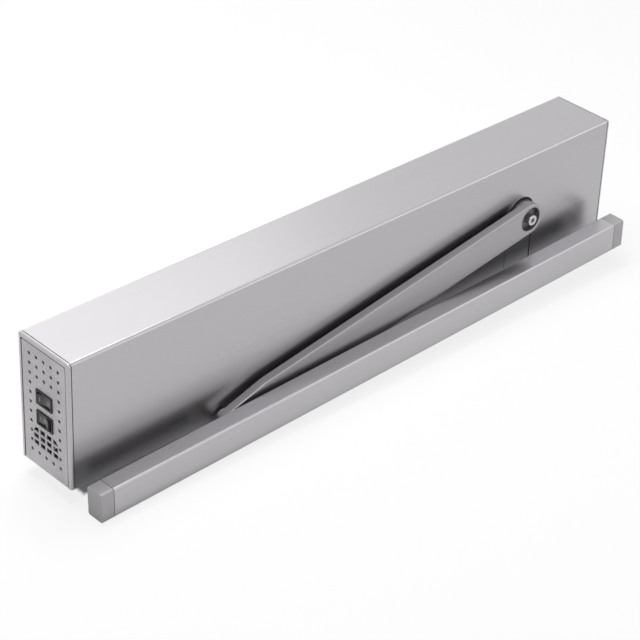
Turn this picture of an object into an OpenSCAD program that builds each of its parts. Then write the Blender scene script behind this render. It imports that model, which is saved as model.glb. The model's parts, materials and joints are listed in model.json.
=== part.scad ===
// Automatic swing door operator with a slide arm.
// It lies on its wall plate: x runs along the housing, the side with the arm faces -y,
// and +z points away from the wall. Origin: middle of the wall bolts, on the wall.

/* [Housing] */
// Length of the housing over both end caps
housing_length = 685; // [675:1:740]
// Width of the narrow front, across the two wide sides
housing_width = 70; // [70:1:78]
// How far the housing stands out from the wall
housing_depth = 130; // [126:1:150]
// Wall of the aluminium cover
cover_wall = 2; // [1.5:0.1:2.4]
// Radius of the cover's two long front edges
cover_radius = 3.5; // [3:0.5:6]
// Length of an end cap that shows past the cover
cap_lip = 3; // [3:0.5:6]
// Radius round the end face of an end cap
cap_edge_radius = 2.4; // [1:0.2:2.8]
// Length of an end cap that plugs into the cover
cap_plug = 11; // [8:1:16]
// Wall of an end cap's plug
cap_wall = 2; // [1.5:0.1:2.5]
// Width of the rim round the end plate
cap_rim = 4; // [3.5:0.1:5]
// Width of the shadow gap between the cover and an end cap
cap_seam = 0.8; // [0.3:0.1:1]

/* [End plate] */
// Thickness of the perforated end plate
vent_thickness = 1.5; // [1.2:0.1:2.5]
// How deep the end plate lies below the rim
vent_recess = 0.3; // [0:0.1:0.8]
// Width of the groove between end plate and rim
vent_groove = 1.2; // [0.5:0.1:1.4]
// Width of the ledge that the end plate rests on
vent_ledge = 2.2; // [1.5:0.1:3]
// Diameter of the air holes
vent_hole_d = 3.6; // [2:0.1:4]
// Distance from one air hole to the next
vent_pitch = 10; // [9:0.5:11]
// Number of columns of air holes
vent_columns = 5; // [3:2:5]
// Number of rows of air holes
vent_rows = 11; // [9:1:11]
// Distance of the first row of air holes from the narrow front
vent_first_row = 15; // [12:1:16]
// Width of the window grille
grille_width = 33.6; // [30:0.2:35]
// Height of the window grille
grille_height = 18.7; // [16:0.1:19]
// Distance of the middle of the window grille from the narrow front
grille_from_front = 98.2; // [97:0.1:100]
// Number of windows side by side
grille_columns = 4; // [3:1:5]
// Number of windows one above the other
grille_rows = 3; // [2:1:4]
// Width of the bars between windows
grille_bar = 2.3; // [1.5:0.1:3]
// Radius of the grille's two upper corners
grille_top_radius = 5.5; // [3:0.5:7]
// Radius of the grille's two lower corners
grille_low_radius = 2; // [1:0.5:3]

/* [Switches] */
// Width of a switch frame
bezel_width = 22.6; // [21:0.2:24]
// Height of a switch frame
bezel_height = 15.6; // [14:0.2:16]
// How far a switch frame stands proud of the end plate
bezel_proud = 1.2; // [0.6:0.1:2]
// Width of the border of a switch frame
bezel_border = 2.2; // [2.1:0.1:2.6]
// Overlap of the switch frame on the end plate
bezel_overlap = 0.8; // [0.6:0.1:1]
// Depth of a switch behind the end plate
switch_depth = 15; // [12:1:18]
// Distance from the rocker's axis to the front of the switch frame
rocker_axis_depth = 4.6; // [4:0.1:5.5]
// Tilt of a rocker each way from its middle
rocker_tilt = 8; // [5:1:9]
// Length of a switch's blade contacts
switch_blade = 5; // [4:0.5:6]
// Distance of the mains switch from the narrow front
power_switch_from_front = 54.4; // [52:0.2:56]
// Distance of the programme switch from the narrow front
program_switch_from_front = 76; // [75:0.2:78]

/* [Wall plate] */
// Thickness of the steel wall plate
plate_thickness = 3; // [2:0.5:4]
// Height of the plate's folded side flanges, from the wall
flange_height = 12; // [9:1:14]
// Thickness of the side flanges
flange_thickness = 1.5; // [1:0.1:2]
// Diameter of a wall bolt hole
wall_hole_d = 6.5; // [5:0.5:8]
// Distance of the wall bolts from the ends of the housing
wall_hole_inset = 22.5; // [21:0.5:23]
// Distance between the wall bolts across the plate
wall_hole_spacing = 44; // [36:1:46]
// Length of the cable opening
cable_opening_length = 26; // [20:1:26]
// Width of the cable opening
cable_opening_width = 30; // [20:1:40]

/* [Drive] */
// Distance of the axle from the right-hand end
axle_from_end = 125; // [122:1:130]
// Height of the axle above the wall
axle_height = 67; // [65:0.5:70]
// Diameter of the axle in its front bearing
axle_d = 20; // [18:1:20]
// Diameter of the axle under its gears
axle_seat_d = 24; // [23:1:28]
// Diameter of the axle in its rear bearing
axle_rear_d = 17; // [14:1:17]
// Outer diameter of the front bearing
front_bearing_d = 37; // [34:1:40]
// Width of the front bearing
front_bearing_w = 9; // [7:1:9]
// Outer diameter of the rear bearing
rear_bearing_d = 30; // [28:1:34]
// Width of the rear bearing
rear_bearing_w = 7; // [6:1:8]
// Thickness of the gear frame's plates
frame_plate = 5; // [4:0.5:5]
// Wall of the gear frame round a bearing
frame_boss_wall = 6; // [4:0.5:8]
// Radius of the arch over the axle in the cover
notch_radius = 18.7; // [18.5:0.1:20]
// Thickness of the flange behind the piece that closes the slot below the axle
filler_flange = 1.2; // [0.8:0.1:1.4]
// How far that piece lies back from the cover's wide side
filler_inset = 0.4; // [0:0.1:1]
// Gap beside that piece
filler_gap = 1.2; // [0.3:0.1:1.2]
// Diameter of the screws that hold the gear frame
frame_screw_d = 5; // [4:0.5:6]
// Diameter of the geared motor
motor_d = 44; // [36:1:44]
// Thickness of the motor bracket's sheet
motor_sheet = 3; // [2:0.5:4]
// Diameter of the motor's encoder
encoder_d = 30; // [24:1:34]
// Length of the motor's encoder
encoder_length = 5; // [3:0.5:5]

/* [Gears] */
// Pressure angle of all gears
pressure_angle = 25; // [24:1:26]
// Play between meshing teeth
gear_play = 0.16; // [0.12:0.01:0.3]
// Module of the axle's pinion and the rack
rack_module = 2; // [2:0.1:2.2]
// Teeth of the axle's pinion
rack_pinion_teeth = 22; // [20:1:22]
// Width of the pinion and the rack
rack_width = 12; // [10:0.5:12]
// Module of the axle's gear
axle_gear_module = 1.5; // [1.4:0.05:1.5]
// Teeth of the axle's gear
axle_gear_teeth = 44; // [42:1:44]
// Teeth of the intermediate pinion
inter_pinion_teeth = 12; // [12:1:13]
// Width of the axle's gear
axle_gear_width = 10; // [8:0.5:10]
// Module of the motor's pinion
motor_gear_module = 1.25; // [1.2:0.05:1.25]
// Teeth of the intermediate gear
inter_gear_teeth = 40; // [38:1:42]
// Teeth of the motor's pinion
motor_pinion_teeth = 14; // [14:1:15]
// Width of the motor's pinion and the intermediate gear
motor_gear_width = 7; // [5:0.5:7]
// Slope of the line from the axle to the intermediate shaft
inter_slope = 15; // [12:1:17]
// Slope of the line from the intermediate shaft to the motor
motor_slope = 10; // [6:1:14]
// Diameter of the intermediate shaft
inter_shaft_d = 10; // [8:1:10]

/* [Closer spring] */
// Diameter of the spring's wire
spring_wire = 3.6; // [3:0.1:4]
// Mean diameter of the spring
spring_mean_d = 20; // [18:0.5:21]
// Turns of the spring
spring_turns = 13; // [10:1:15]
// Length of the spring with the arm closed
spring_length = 140; // [130:1:150]
// Diameter of the spring rod
spring_rod_d = 10; // [8:0.5:10]
// Thickness of the spring's two seats
spring_seat = 6; // [4:1:7]
// Largest opening angle of the arm
arm_travel = 120; // [90:5:125]

/* [Electronics] */
// Length of the power supply
supply_length = 92; // [80:1:94]
// Height of the power supply
supply_height = 44; // [30:1:60]
// Width of the power supply
supply_width = 54; // [44:1:56]
// Length of the control board
board_length = 118; // [100:1:122]
// Width of the control board
board_width = 54; // [44:1:56]
// Thickness of the control board
board_thickness = 1.6; // [1.2:0.1:2]
// Height of the stand-offs under the board
standoff_height = 9; // [6:1:12]
// Gap between the switches, the power supply, the cable opening and the board
electronics_gap = 3.5; // [3:0.5:5]
// Distance from one screw terminal to the next
terminal_pitch = 5; // [4:0.1:5.2]

/* [Arm] */
// Distance from the axle to the slide pin
arm_length = 396; // [380:1:400]
// Width of the arm
arm_width = 33; // [31:0.5:34]
// Thickness of the arm
arm_thickness = 9; // [8:0.5:12]
// Width of the arm's tip
arm_tip_width = 19.6; // [16:0.2:24]
// Length of the arm's tapered end
arm_taper_length = 46; // [30:1:80]
// Gap between the arm and the housing
arm_gap = 5; // [4.5:0.1:7]
// How far the boss of the arm's hub reaches into the arch
hub_boss_entry = 1.2; // [0.5:0.1:1.2]
// Diameter of the boss of the arm's hub
hub_boss_d = 32; // [28:0.5:32]
// Diameter of the recess in the arm's hub
hub_recess_d = 25.6; // [24:0.2:26]
// Floor left under the recess
hub_floor = 2.6; // [2:0.1:4]
// Slope of the closed arm towards the wall
arm_slope = 9.3; // [8:0.1:10]
// Width of the axle's square end
axle_square = 13; // [12:0.5:14]
// Diameter of the arm screw's head
arm_screw_head_d = 11; // [10:0.5:13]
// How far the screw's head stands proud of the arm
arm_screw_proud = 2.7; // [1:0.1:2.8]
// Diameter of the arm screw's shank
arm_screw_shank_d = 6; // [5:0.5:8]

/* [Rail] */
// Length of the slide rail over its caps
rail_length = 676; // [600:1:720]
// Height of the slide rail
rail_height = 30.5; // [29:0.5:34]
// Depth of the slide rail
rail_depth = 19.2; // [18:0.1:24]
// Wall of the slide rail
rail_wall = 2.2; // [1.8:0.1:2.5]
// Radius of the rail's outer edges
rail_radius = 2; // [1:0.1:2.5]
// Width of the rail's slot
rail_slot = 13; // [12:0.5:15]
// Gap between the arm and the rail
rail_gap = 3.2; // [3.1:0.1:5]
// Length of a rail cap
rail_cap_length = 13.5; // [12:0.5:18]
// Wall of a rail cap
rail_cap_wall = 1.6; // [1.4:0.1:2]
// Width of the shadow gap between the rail and its caps
rail_seam = 0.5; // [0.2:0.1:1]
// Distance from the slide pin to the rail's left-hand end
rail_pin_from_end = 165; // [120:1:200]
// Slope of the rail against the housing
rail_slope = 1.5; // [0:0.1:2]
// Diameter of the slide pin
slide_pin_d = 10; // [8:0.5:10.5]
// Length of the slide block
slide_block_length = 40; // [30:1:50]
// Diameter of the rail's screw holes
rail_hole_d = 5.5; // [4:0.5:6]

/* [Clearances] */
// Radial play of a shaft in its bearing
running_play = 0.04; // [0.02:0.01:0.08]
// Play between parts that slide on each other
slide_play = 0.3; // [0.25:0.05:0.4]
// Play between parts that are pushed together
seat_play = 0.1; // [0.05:0.05:0.2]
// Air between the cover and what lies inside it
cover_play = 0.4; // [0.3:0.1:0.6]

/* [Hidden] */
$fn = 64;
cut = 1;

half_length = housing_length / 2;
half_width = housing_width / 2;
arm_side_y = -half_width;
inner_half = half_width - cover_wall;
cover_end_x = half_length - cap_lip;
axle_x = half_length - axle_from_end;

// End cap and end plate
vent_x = -half_length + vent_recess;
vent_back_x = vent_x + vent_thickness;
vent_width = housing_width - 2 * cap_rim - 2 * vent_groove;
vent_top = housing_depth - cap_rim - vent_groove;
bezel_x = vent_x - bezel_proud;
power_switch_z = housing_depth - power_switch_from_front;
program_switch_z = housing_depth - program_switch_from_front;
grille_z = housing_depth - grille_from_front;
rocker_axis_x = bezel_x + rocker_axis_depth;
switch_body_height = bezel_height - 2 * bezel_overlap - 2 * seat_play;
rocker_pin_half = switch_body_height / 2 - 0.6;
switch_top_z = power_switch_z + bezel_height / 2;
grille_low_z = grille_z - grille_height / 2;

// Layers of the drive, from the arm's side to the rear
filler_back_y = -inner_half + filler_flange;
frame_front_y = filler_back_y + cover_play;
frame_rear_y = inner_half - cover_play;
front_bearing_y = frame_front_y + front_bearing_w;
rack_y = front_bearing_y + 1.6;
axle_gear_y = rack_y + rack_width + 4;
motor_gear_y = axle_gear_y + axle_gear_width + 4;
rear_bearing_y = frame_rear_y - frame_plate - rear_bearing_w;
motor_face_y = motor_gear_y - motor_sheet - 1;
motor_bore = motor_d * 0.27;
motor_shaft_r = motor_d / 11;

// Gear train, seen from the arm's side
rack_pinion_r = rack_module * rack_pinion_teeth / 2;
axle_gear_r = axle_gear_module * axle_gear_teeth / 2;
inter_pinion_r = axle_gear_module * inter_pinion_teeth / 2;
inter_gear_r = motor_gear_module * inter_gear_teeth / 2;
motor_pinion_r = motor_gear_module * motor_pinion_teeth / 2;
inter_angle = 180 - inter_slope;
motor_angle = 180 - motor_slope;
inter_x = axle_x + (axle_gear_r + inter_pinion_r) * cos(inter_angle);
inter_z = axle_height + (axle_gear_r + inter_pinion_r) * sin(inter_angle);
motor_x = inter_x + (inter_gear_r + motor_pinion_r) * cos(motor_angle);
motor_z = inter_z + (inter_gear_r + motor_pinion_r) * sin(motor_angle);

// Rack, spring and their guide
rack_travel = rack_pinion_r * arm_travel * PI / 180;
rack_pitch_z = axle_height - rack_pinion_r;
rack_tip_z = rack_pitch_z + rack_module;
rack_root_z = rack_pitch_z - 1.25 * rack_module;
rack_bottom_z = rack_root_z - 4 * rack_module;
rack_mid_y = rack_y + rack_width / 2;
rod_z = (rack_root_z + rack_bottom_z) / 2;
rack_reach = 7 * rack_module;
rack_left_x = axle_x - rack_reach - 2.5 * rack_module;
rack_right_x = axle_x + rack_travel + rack_reach;
frame_left_x = inter_x - 10;
frame_right_x = rack_right_x + 4;
spring_right_x = frame_left_x - 8;
spring_left_x = spring_right_x - spring_length;

bracket_foot = 14;
middle_hole_x = spring_left_x - spring_seat - bracket_foot - 20;

// Arm and rail layers
arm_back_y = arm_side_y - arm_gap;
hub_boss_height = arm_gap + hub_boss_entry;
arm_front_y = arm_back_y - arm_thickness;
rail_back_y = arm_front_y - rail_gap;
rail_front_y = rail_back_y - rail_depth;
pin_x = axle_x - arm_length * cos(arm_slope);
pin_z = axle_height - arm_length * sin(arm_slope);
rail_right = rail_length - rail_pin_from_end;
channel_height = rail_height - 2 * rail_wall;

// Places of the electronics, counted from the left-hand end
supply_x = vent_back_x + switch_depth + switch_blade + electronics_gap;
cable_opening_x = supply_x + supply_length + electronics_gap;
board_x = cable_opening_x + cable_opening_length + electronics_gap;
board_z = plate_thickness + standoff_height;
board_top_z = board_z + board_thickness;

// Outline in the x-z plane, thick from y0 to y1
module slab_y(y0, y1) {
    translate([0, y1, 0]) rotate([90, 0, 0]) linear_extrude(y1 - y0) children();
}

// Outline in the y-z plane, thick from x0 to x1
module slab_x(x0, x1) {
    translate([x0, 0, 0]) rotate([90, 0, 90]) linear_extrude(x1 - x0) children();
}

// Outline in the x-y plane, thick from z0 to z1
module slab_z(z0, z1) {
    translate([0, 0, z0]) linear_extrude(z1 - z0) children();
}

// Rod along y
module rod_y(x, z, r, y0, y1) {
    translate([x, y1, z]) rotate([90, 0, 0]) cylinder(h = y1 - y0, r = r);
}

// Rod along x
module rod_x(y, z, r, x0, x1) {
    translate([x0, y, z]) rotate([0, 90, 0]) cylinder(h = x1 - x0, r = r);
}

// Rod along z
module rod_z(x, y, r, z0, z1) {
    translate([x, y, z0]) cylinder(h = z1 - z0, r = r);
}

// Rectangle round the origin with four round corners
module round_rect(w, h, r) {
    square([w - 2 * r, h], center = true);
    square([w, h - 2 * r], center = true);
    for (x = [-1, 1], y = [-1, 1]) translate([x * (w / 2 - r), y * (h / 2 - r)]) circle(r);
}

// Section that stands on z = low and has its two upper corners rounded
module arched(w, low, high, r) {
    translate([-w / 2, low]) square([w, high - low - r]);
    translate([-w / 2 + r, low]) square([w - 2 * r, high - low]);
    for (s = [-1, 1]) translate([s * (w / 2 - r), high - r]) circle(r);
}

// Involute of an angle, in degrees
function involute(a) = tan(a) * 180 / PI - a;

// Half the angle that a tooth covers at radius r, from its involute flank
function tooth_half(r, base_r, base_half) = r <= base_r ? base_half : base_half - involute(acos(base_r / r));

// Outline of a spur gear with a tooth pointing along +x
function gear_points(m, teeth, steps = 4) =
    let(
        r = m * teeth / 2,
        base_r = r * cos(pressure_angle),
        root_r = r - 1.25 * m,
        tip_r = r + 0.95 * m,
        low_r = max(root_r, base_r),
        base_half = 90 / teeth - gear_play / 4 / r * 180 / PI + involute(pressure_angle),
        radii = concat([root_r], [for (i = [0:steps]) low_r + (tip_r - low_r) * i / steps])
    )
    [for (t = [0:teeth - 1], side = [-1, 1], i = [0:steps + 1])
        let(
            k = side < 0 ? i : steps + 1 - i,
            a = 360 * t / teeth + side * tooth_half(radii[k], base_r, base_half)
        )
        radii[k] * [cos(a), sin(a)]];

// Spur gear round a point of the x-z plane, with a tooth pointing along the angle
module gear(x, z, m, teeth, angle, y0, y1) {
    slab_y(y0, y1) translate([x, z]) rotate(angle) polygon(gear_points(m, teeth));
}

// Wide side's arch over the axle, and the slot below it
module notch_outline(r) {
    translate([axle_x, axle_height]) circle(r);
    translate([axle_x - r, -cut]) square([2 * r, axle_height + cut]);
}

// Aluminium profile that closes the front and both wide sides
module cover() {
    color("gainsboro")
    difference() {
        slab_x(-cover_end_x + cap_seam, cover_end_x - cap_seam) difference() {
            arched(housing_width, 0, housing_depth, cover_radius);
            arched(2 * inner_half, -cut, housing_depth - cover_wall, cover_radius - cover_wall);
        }
        slab_y(arm_side_y - cut, arm_side_y + cover_wall + cut) notch_outline(notch_radius);
    }
}

// Slip-in piece that closes the slot below the axle
module notch_filler() {
    lap = 3;
    low = plate_thickness + seat_play;
    color("silver")
    difference() {
        union() {
            slab_y(arm_side_y + filler_inset, -inner_half)
                translate([axle_x - notch_radius + filler_gap, 0])
                square([2 * (notch_radius - filler_gap), axle_height]);
            slab_y(-inner_half, filler_back_y)
                translate([axle_x - notch_radius - lap, low])
                square([2 * (notch_radius + lap), axle_height - low]);
        }
        rod_y(axle_x, axle_height, notch_radius, arm_side_y - cut, frame_front_y + cut);
    }
}

// Outside of an end cap at the left-hand end, with its edges rounded
module cap_shape() {
    r = cap_edge_radius;
    intersection() {
        slab_x(-half_length, -cover_end_x) arched(housing_width, 0, housing_depth, cover_radius);
        slab_y(-half_width, half_width) {
            translate([-half_length + r, 0]) square([cap_lip, housing_depth]);
            translate([-half_length, 0]) square([cap_lip, housing_depth - r]);
            translate([-half_length + r, housing_depth - r]) circle(r);
        }
        slab_z(0, housing_depth) {
            translate([-half_length + r, -half_width]) square([cap_lip, housing_width]);
            translate([-half_length, -half_width + r]) square([cap_lip, housing_width - 2 * r]);
            for (s = [-1, 1]) translate([-half_length + r, s * (half_width - r)]) circle(r);
        }
    }
}

// Part of an end cap that slips into the cover
module cap_plug_shape() {
    outer = 2 * (inner_half - seat_play);
    top = housing_depth - cover_wall - seat_play;
    r = cover_radius - cover_wall;
    low = plate_thickness + seat_play;
    slab_x(-cover_end_x, -cover_end_x + cap_plug) difference() {
        arched(outer, low, top, r);
        arched(outer - 2 * cap_wall, low - cut, top - cap_wall, r);
    }
}

// Rim that frames the end plate
module left_end_cap() {
    ledge_width = vent_width - 2 * vent_ledge;
    ledge_top = vent_top - vent_ledge;
    color("lightgray")
    union() {
        difference() {
            cap_shape();
            slab_x(-half_length - cut, vent_back_x)
                arched(vent_width + 2 * vent_groove, -cut, vent_top + vent_groove, 1);
            slab_x(-half_length - cut, -cover_end_x + cut) arched(ledge_width, -cut, ledge_top, 1);
        }
        cap_plug_shape();
    }
}

// Cap at the end without switches, closed and ribbed inside
module right_end_cap() {
    color("lightgray")
    mirror([1, 0, 0]) union() {
        cap_shape();
        cap_plug_shape();
        for (z = [1:3]) slab_x(-cover_end_x, -cover_end_x + 4)
            translate([-half_width + 2 * cover_wall, z * housing_depth / 4])
            square([housing_width - 4 * cover_wall, cap_wall]);
    }
}

// Windows of the grille, cut by an outline with round corners
module grille_windows() {
    window_w = (grille_width - (grille_columns - 1) * grille_bar) / grille_columns;
    window_h = (grille_height - (grille_rows - 1) * grille_bar) / grille_rows;
    intersection() {
        for (i = [0:grille_columns - 1], k = [0:grille_rows - 1])
            translate([
                -grille_width / 2 + i * (window_w + grille_bar),
                grille_low_z + k * (window_h + grille_bar)
            ]) square([window_w, window_h]);
        union() {
            translate([0, grille_low_z])
                arched(grille_width, grille_height / 2, grille_height, grille_top_radius);
            translate([0, grille_low_z + grille_height])
                mirror([0, 1]) arched(grille_width, grille_height / 2, grille_height, grille_low_radius);
        }
    }
}

// Perforated end plate: every row keeps its outer holes, and the inner ones where there is room
module vent_plate() {
    color("silver")
    slab_x(vent_x, vent_back_x) difference() {
        arched(vent_width, 0, vent_top, 1);
        for (row = [0:vent_rows - 1], column = [0:vent_columns - 1]) {
            z = housing_depth - vent_first_row - row * vent_pitch;
            outer = column == 0 || column == vent_columns - 1;
            free = z > switch_top_z + vent_pitch / 2 || z < grille_low_z - vent_pitch / 2;
            if (outer || free)
                translate([(column - (vent_columns - 1) / 2) * vent_pitch, z])
                circle(d = vent_hole_d, $fn = 32);
        }
        for (z = [power_switch_z, program_switch_z]) translate([0, z])
            square([bezel_width - 2 * bezel_overlap, bezel_height - 2 * bezel_overlap], center = true);
        grille_windows();
    }
}

// Switch housing with a frame in front and a well for the rocker
module switch_housing(z) {
    body_w = bezel_width - 2 * bezel_overlap - 2 * seat_play;
    body_h = switch_body_height;
    back_x = vent_back_x + switch_depth;
    well_w = bezel_width - 2 * bezel_border;
    well_h = bezel_height - 2 * bezel_border;
    color("dimgray")
    difference() {
        union() {
            slab_x(bezel_x, vent_x) translate([0, z]) round_rect(bezel_width, bezel_height, 1);
            slab_x(vent_x, back_x) translate([0, z]) square([body_w, body_h], center = true);
            for (y = [-1, 0, 1]) slab_x(back_x, back_x + switch_blade)
                translate([y * body_w / 3, z]) square([0.8, 4.8], center = true);
        }
        slab_x(bezel_x - cut, rocker_axis_x + 4) translate([0, z]) square([well_w, well_h], center = true);
        rod_z(rocker_axis_x, 0, 1.2, z - rocker_pin_half - 0.2, z + rocker_pin_half + 0.2);
    }
}

// Rocker with a shallow valley, turned by an angle about its axis
module rocker(z, turn) {
    front = rocker_axis_depth + 0.6;
    well = bezel_width / 2 - bezel_border - slide_play;
    reach = (well - front * sin(rocker_tilt)) / cos(rocker_tilt);
    half_h = bezel_height / 2 - bezel_border - slide_play;
    color("black")
    translate([rocker_axis_x, 0, z]) rotate([0, 0, turn]) {
        slab_z(-half_h, half_h) polygon([
            [1.5 - front, 0], [-front, reach], [1, reach], [2, 3],
            [2, -3], [1, -reach], [-front, -reach]
        ]);
        rod_z(0, 0, 1.2 - running_play, -rocker_pin_half, rocker_pin_half);
    }
}

module power_switch() {
    switch_housing(power_switch_z);
}

module power_rocker() {
    rocker(power_switch_z, rocker_tilt);
}

module program_switch() {
    switch_housing(program_switch_z);
}

module program_rocker() {
    rocker(program_switch_z, -rocker_tilt);
}

// Steel plate that is bolted to the wall and carries everything else
module wall_plate() {
    plate_half_x = cover_end_x - slide_play;
    plate_half_y = inner_half - slide_play;
    color("slategray")
    difference() {
        union() {
            slab_z(0, plate_thickness) square([2 * plate_half_x, 2 * plate_half_y], center = true);
            for (s = [-1, 1], ends = [
                [-cover_end_x + cap_plug + 2, frame_left_x - 22],
                [frame_right_x + 2, cover_end_x - cap_plug - 2]
            ])
                translate([ends[0], s * (plate_half_y - flange_thickness / 2) - flange_thickness / 2, 0])
                cube([ends[1] - ends[0], flange_thickness, flange_height]);
        }
        for (x = [-half_length + wall_hole_inset, middle_hole_x, half_length - wall_hole_inset], s = [-1, 1])
            rod_z(x, s * wall_hole_spacing / 2, wall_hole_d / 2, -cut, plate_thickness + cut);
        translate([cable_opening_x, -cable_opening_width / 2, -cut])
            cube([cable_opening_length, cable_opening_width, plate_thickness + 2 * cut]);
        frame_screw_holes(0);
    }
}

// Places of the four screws that hold the gear frame
function frame_screw_places() = [
    for (x = [frame_left_x + 1.4 * frame_screw_d, frame_right_x - 1.4 * frame_screw_d], s = [-1, 1])
        [x, s * (-frame_front_y - frame_plate - 1.1 * frame_screw_d)]
];

// Holes of the gear frame's screws
module frame_screw_holes(play) {
    for (p = frame_screw_places())
        rod_z(p[0], p[1], frame_screw_d / 2 + play, -cut, plate_thickness + frame_plate + cut);
}

// Cast frame: two plates on one foot, with seats for the bearings and the shaft
module gear_frame() {
    low = plate_thickness;
    web_top = low + frame_plate;
    boss_r = front_bearing_d / 2 + frame_boss_wall;
    rear_boss_r = rear_bearing_d / 2 + frame_boss_wall;
    shaft_boss_r = inter_shaft_d / 2 + 4;
    color("darkgray")
    difference() {
        union() {
            translate([frame_left_x, frame_front_y, low])
                cube([frame_right_x - frame_left_x, frame_rear_y - frame_front_y, frame_plate]);
            slab_y(frame_front_y, frame_front_y + frame_plate) frame_outline(boss_r);
            slab_y(frame_rear_y - frame_plate, frame_rear_y) frame_outline(rear_boss_r);
            rod_y(axle_x, axle_height, boss_r - 1.5, frame_front_y + 1, front_bearing_y);
            rod_y(axle_x, axle_height, rear_boss_r - 1.5, rear_bearing_y, frame_rear_y - 1);
            rod_y(inter_x, inter_z, shaft_boss_r, frame_front_y + 1, axle_gear_y - 3);
            rod_y(inter_x, inter_z, shaft_boss_r, motor_gear_y + motor_gear_width + 1.5, frame_rear_y - 1);
        }
        rod_y(axle_x, axle_height, front_bearing_d / 2, frame_front_y - cut, front_bearing_y + cut);
        rod_y(axle_x, axle_height, rear_bearing_d / 2, rear_bearing_y - cut, rear_bearing_y + rear_bearing_w);
        rod_y(inter_x, inter_z, inter_shaft_d / 2, frame_front_y + 2, frame_rear_y - 2);
        frame_screw_holes(seat_play);
    }
}

// Outline of one plate of the gear frame: a foot, a pillar with the bearing's boss, and one with the shaft's
module frame_outline(boss_r) {
    low = plate_thickness;
    run = axle_gear_r + inter_pinion_r;
    shaft_r = inter_shaft_d / 2 + 5;
    translate([frame_left_x, low]) square([frame_right_x - frame_left_x, 12]);
    translate([axle_x, axle_height]) circle(boss_r);
    polygon([
        [axle_x - boss_r, low + 4], [axle_x + boss_r, low + 4],
        [axle_x + boss_r * 0.9, axle_height], [axle_x - boss_r * 0.9, axle_height]
    ]);
    translate([inter_x, inter_z]) circle(shaft_r);
    translate([inter_x - shaft_r * 0.7, low + 4]) square([shaft_r * 1.4, inter_z - low - 4]);
    translate([axle_x, axle_height]) rotate(inter_angle)
        polygon([[0, -boss_r * 0.7], [run, -shaft_r * 0.8], [run, shaft_r * 0.8], [0, boss_r * 0.7]]);
}

// Screws that hold the gear frame to the wall plate
module frame_screws() {
    top = plate_thickness + frame_plate;
    head = 0.6 * frame_screw_d;
    color("dimgray")
    for (p = frame_screw_places()) difference() {
        union() {
            rod_z(p[0], p[1], frame_screw_d / 2, 0.2, top);
            rod_z(p[0], p[1], 0.9 * frame_screw_d, top, top + head);
        }
        rod_z(p[0], p[1], 0.4 * frame_screw_d, top + head / 3, top + head + cut, $fn = 6);
    }
}

// Sealed ball bearing with a groove in each face
module bearing(outer_d, inner_d, y0, y1) {
    groove_in = inner_d / 2 + (outer_d - inner_d) * 0.14;
    groove_out = outer_d / 2 - (outer_d - inner_d) * 0.14;
    color("silver")
    difference() {
        rod_y(axle_x, axle_height, outer_d / 2, y0, y1);
        rod_y(axle_x, axle_height, inner_d / 2, y0 - cut, y1 + cut);
        for (y = [y0, y1]) difference() {
            rod_y(axle_x, axle_height, groove_out, y - 0.6, y + 0.6);
            rod_y(axle_x, axle_height, groove_in, y - cut, y + cut);
        }
    }
}

module front_bearing() {
    bearing(front_bearing_d, axle_d + 2 * running_play, frame_front_y, front_bearing_y);
}

module rear_bearing() {
    bearing(rear_bearing_d, axle_rear_d + 2 * running_play, rear_bearing_y, rear_bearing_y + rear_bearing_w);
}

// Black ring behind the arch, round the axle
module axle_seal() {
    color("black")
    difference() {
        rod_y(axle_x, axle_height, notch_radius - 0.6, arm_side_y + 0.6, frame_front_y);
        rod_y(axle_x, axle_height, notch_radius - 2.2, arm_side_y + 0.6 - cut, arm_side_y + 1.6);
        rod_y(axle_x, axle_height, axle_d / 2 + slide_play, arm_side_y - cut, frame_front_y + cut);
    }
}

// Stepped axle with a square end for the arm
module drive_axle() {
    square_y = arm_front_y + hub_recess_depth() + 0.4;
    color("dimgray")
    difference() {
        axle_shape(square_y);
        rod_y(axle_x, axle_height, arm_screw_shank_d / 2, square_y - cut, arm_back_y + 12);
    }
}

// Steps of the axle, from its square end to the rear bearing
module axle_shape(square_y) {
    union() {
        slab_y(square_y, arm_back_y + 1) translate([axle_x, axle_height]) rotate(arm_slope)
            square(axle_square, center = true);
        rod_y(axle_x, axle_height, axle_d / 2, arm_back_y + hub_boss_height + 0.2, front_bearing_y + 0.2);
        rod_y(axle_x, axle_height, axle_d / 2 - 2, arm_back_y, arm_back_y + hub_boss_height + 0.4);
        rod_y(axle_x, axle_height, axle_seat_d / 2, front_bearing_y + 0.2, rear_bearing_y - 0.4);
        rod_y(axle_x, axle_height, axle_rear_d / 2, rear_bearing_y - 0.4, frame_rear_y - frame_plate - 0.4);
    }
}

// Large gear that the motor turns the axle by
module axle_gear() {
    color("goldenrod")
    difference() {
        gear(axle_x, axle_height, axle_gear_module, axle_gear_teeth, inter_angle,
            axle_gear_y, axle_gear_y + axle_gear_width);
        rod_y(axle_x, axle_height, axle_seat_d / 2, axle_gear_y - cut, axle_gear_y + axle_gear_width + cut);
        for (a = [0:60:300]) rod_y(
            axle_x + axle_gear_r * 0.68 * cos(a), axle_height + axle_gear_r * 0.68 * sin(a), 5,
            axle_gear_y - cut, axle_gear_y + axle_gear_width + cut);
    }
}

// Pinion that draws the rack
module rack_pinion() {
    color("gray")
    difference() {
        gear(axle_x, axle_height, rack_module, rack_pinion_teeth, -90, rack_y, rack_y + rack_width);
        rod_y(axle_x, axle_height, axle_seat_d / 2, rack_y - cut, rack_y + rack_width + cut);
    }
}

// One gap between rack teeth, centred on x = 0 and open at the top
module rack_gap() {
    half_pitch = PI * rack_module / 4 + gear_play / 4;
    slope = tan(pressure_angle);
    tip = rack_module + cut;
    root = 1.25 * rack_module;
    polygon([
        [-half_pitch - tip * slope, tip], [half_pitch + tip * slope, tip],
        [half_pitch - root * slope, -root], [-half_pitch + root * slope, -root]
    ]);
}

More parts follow.
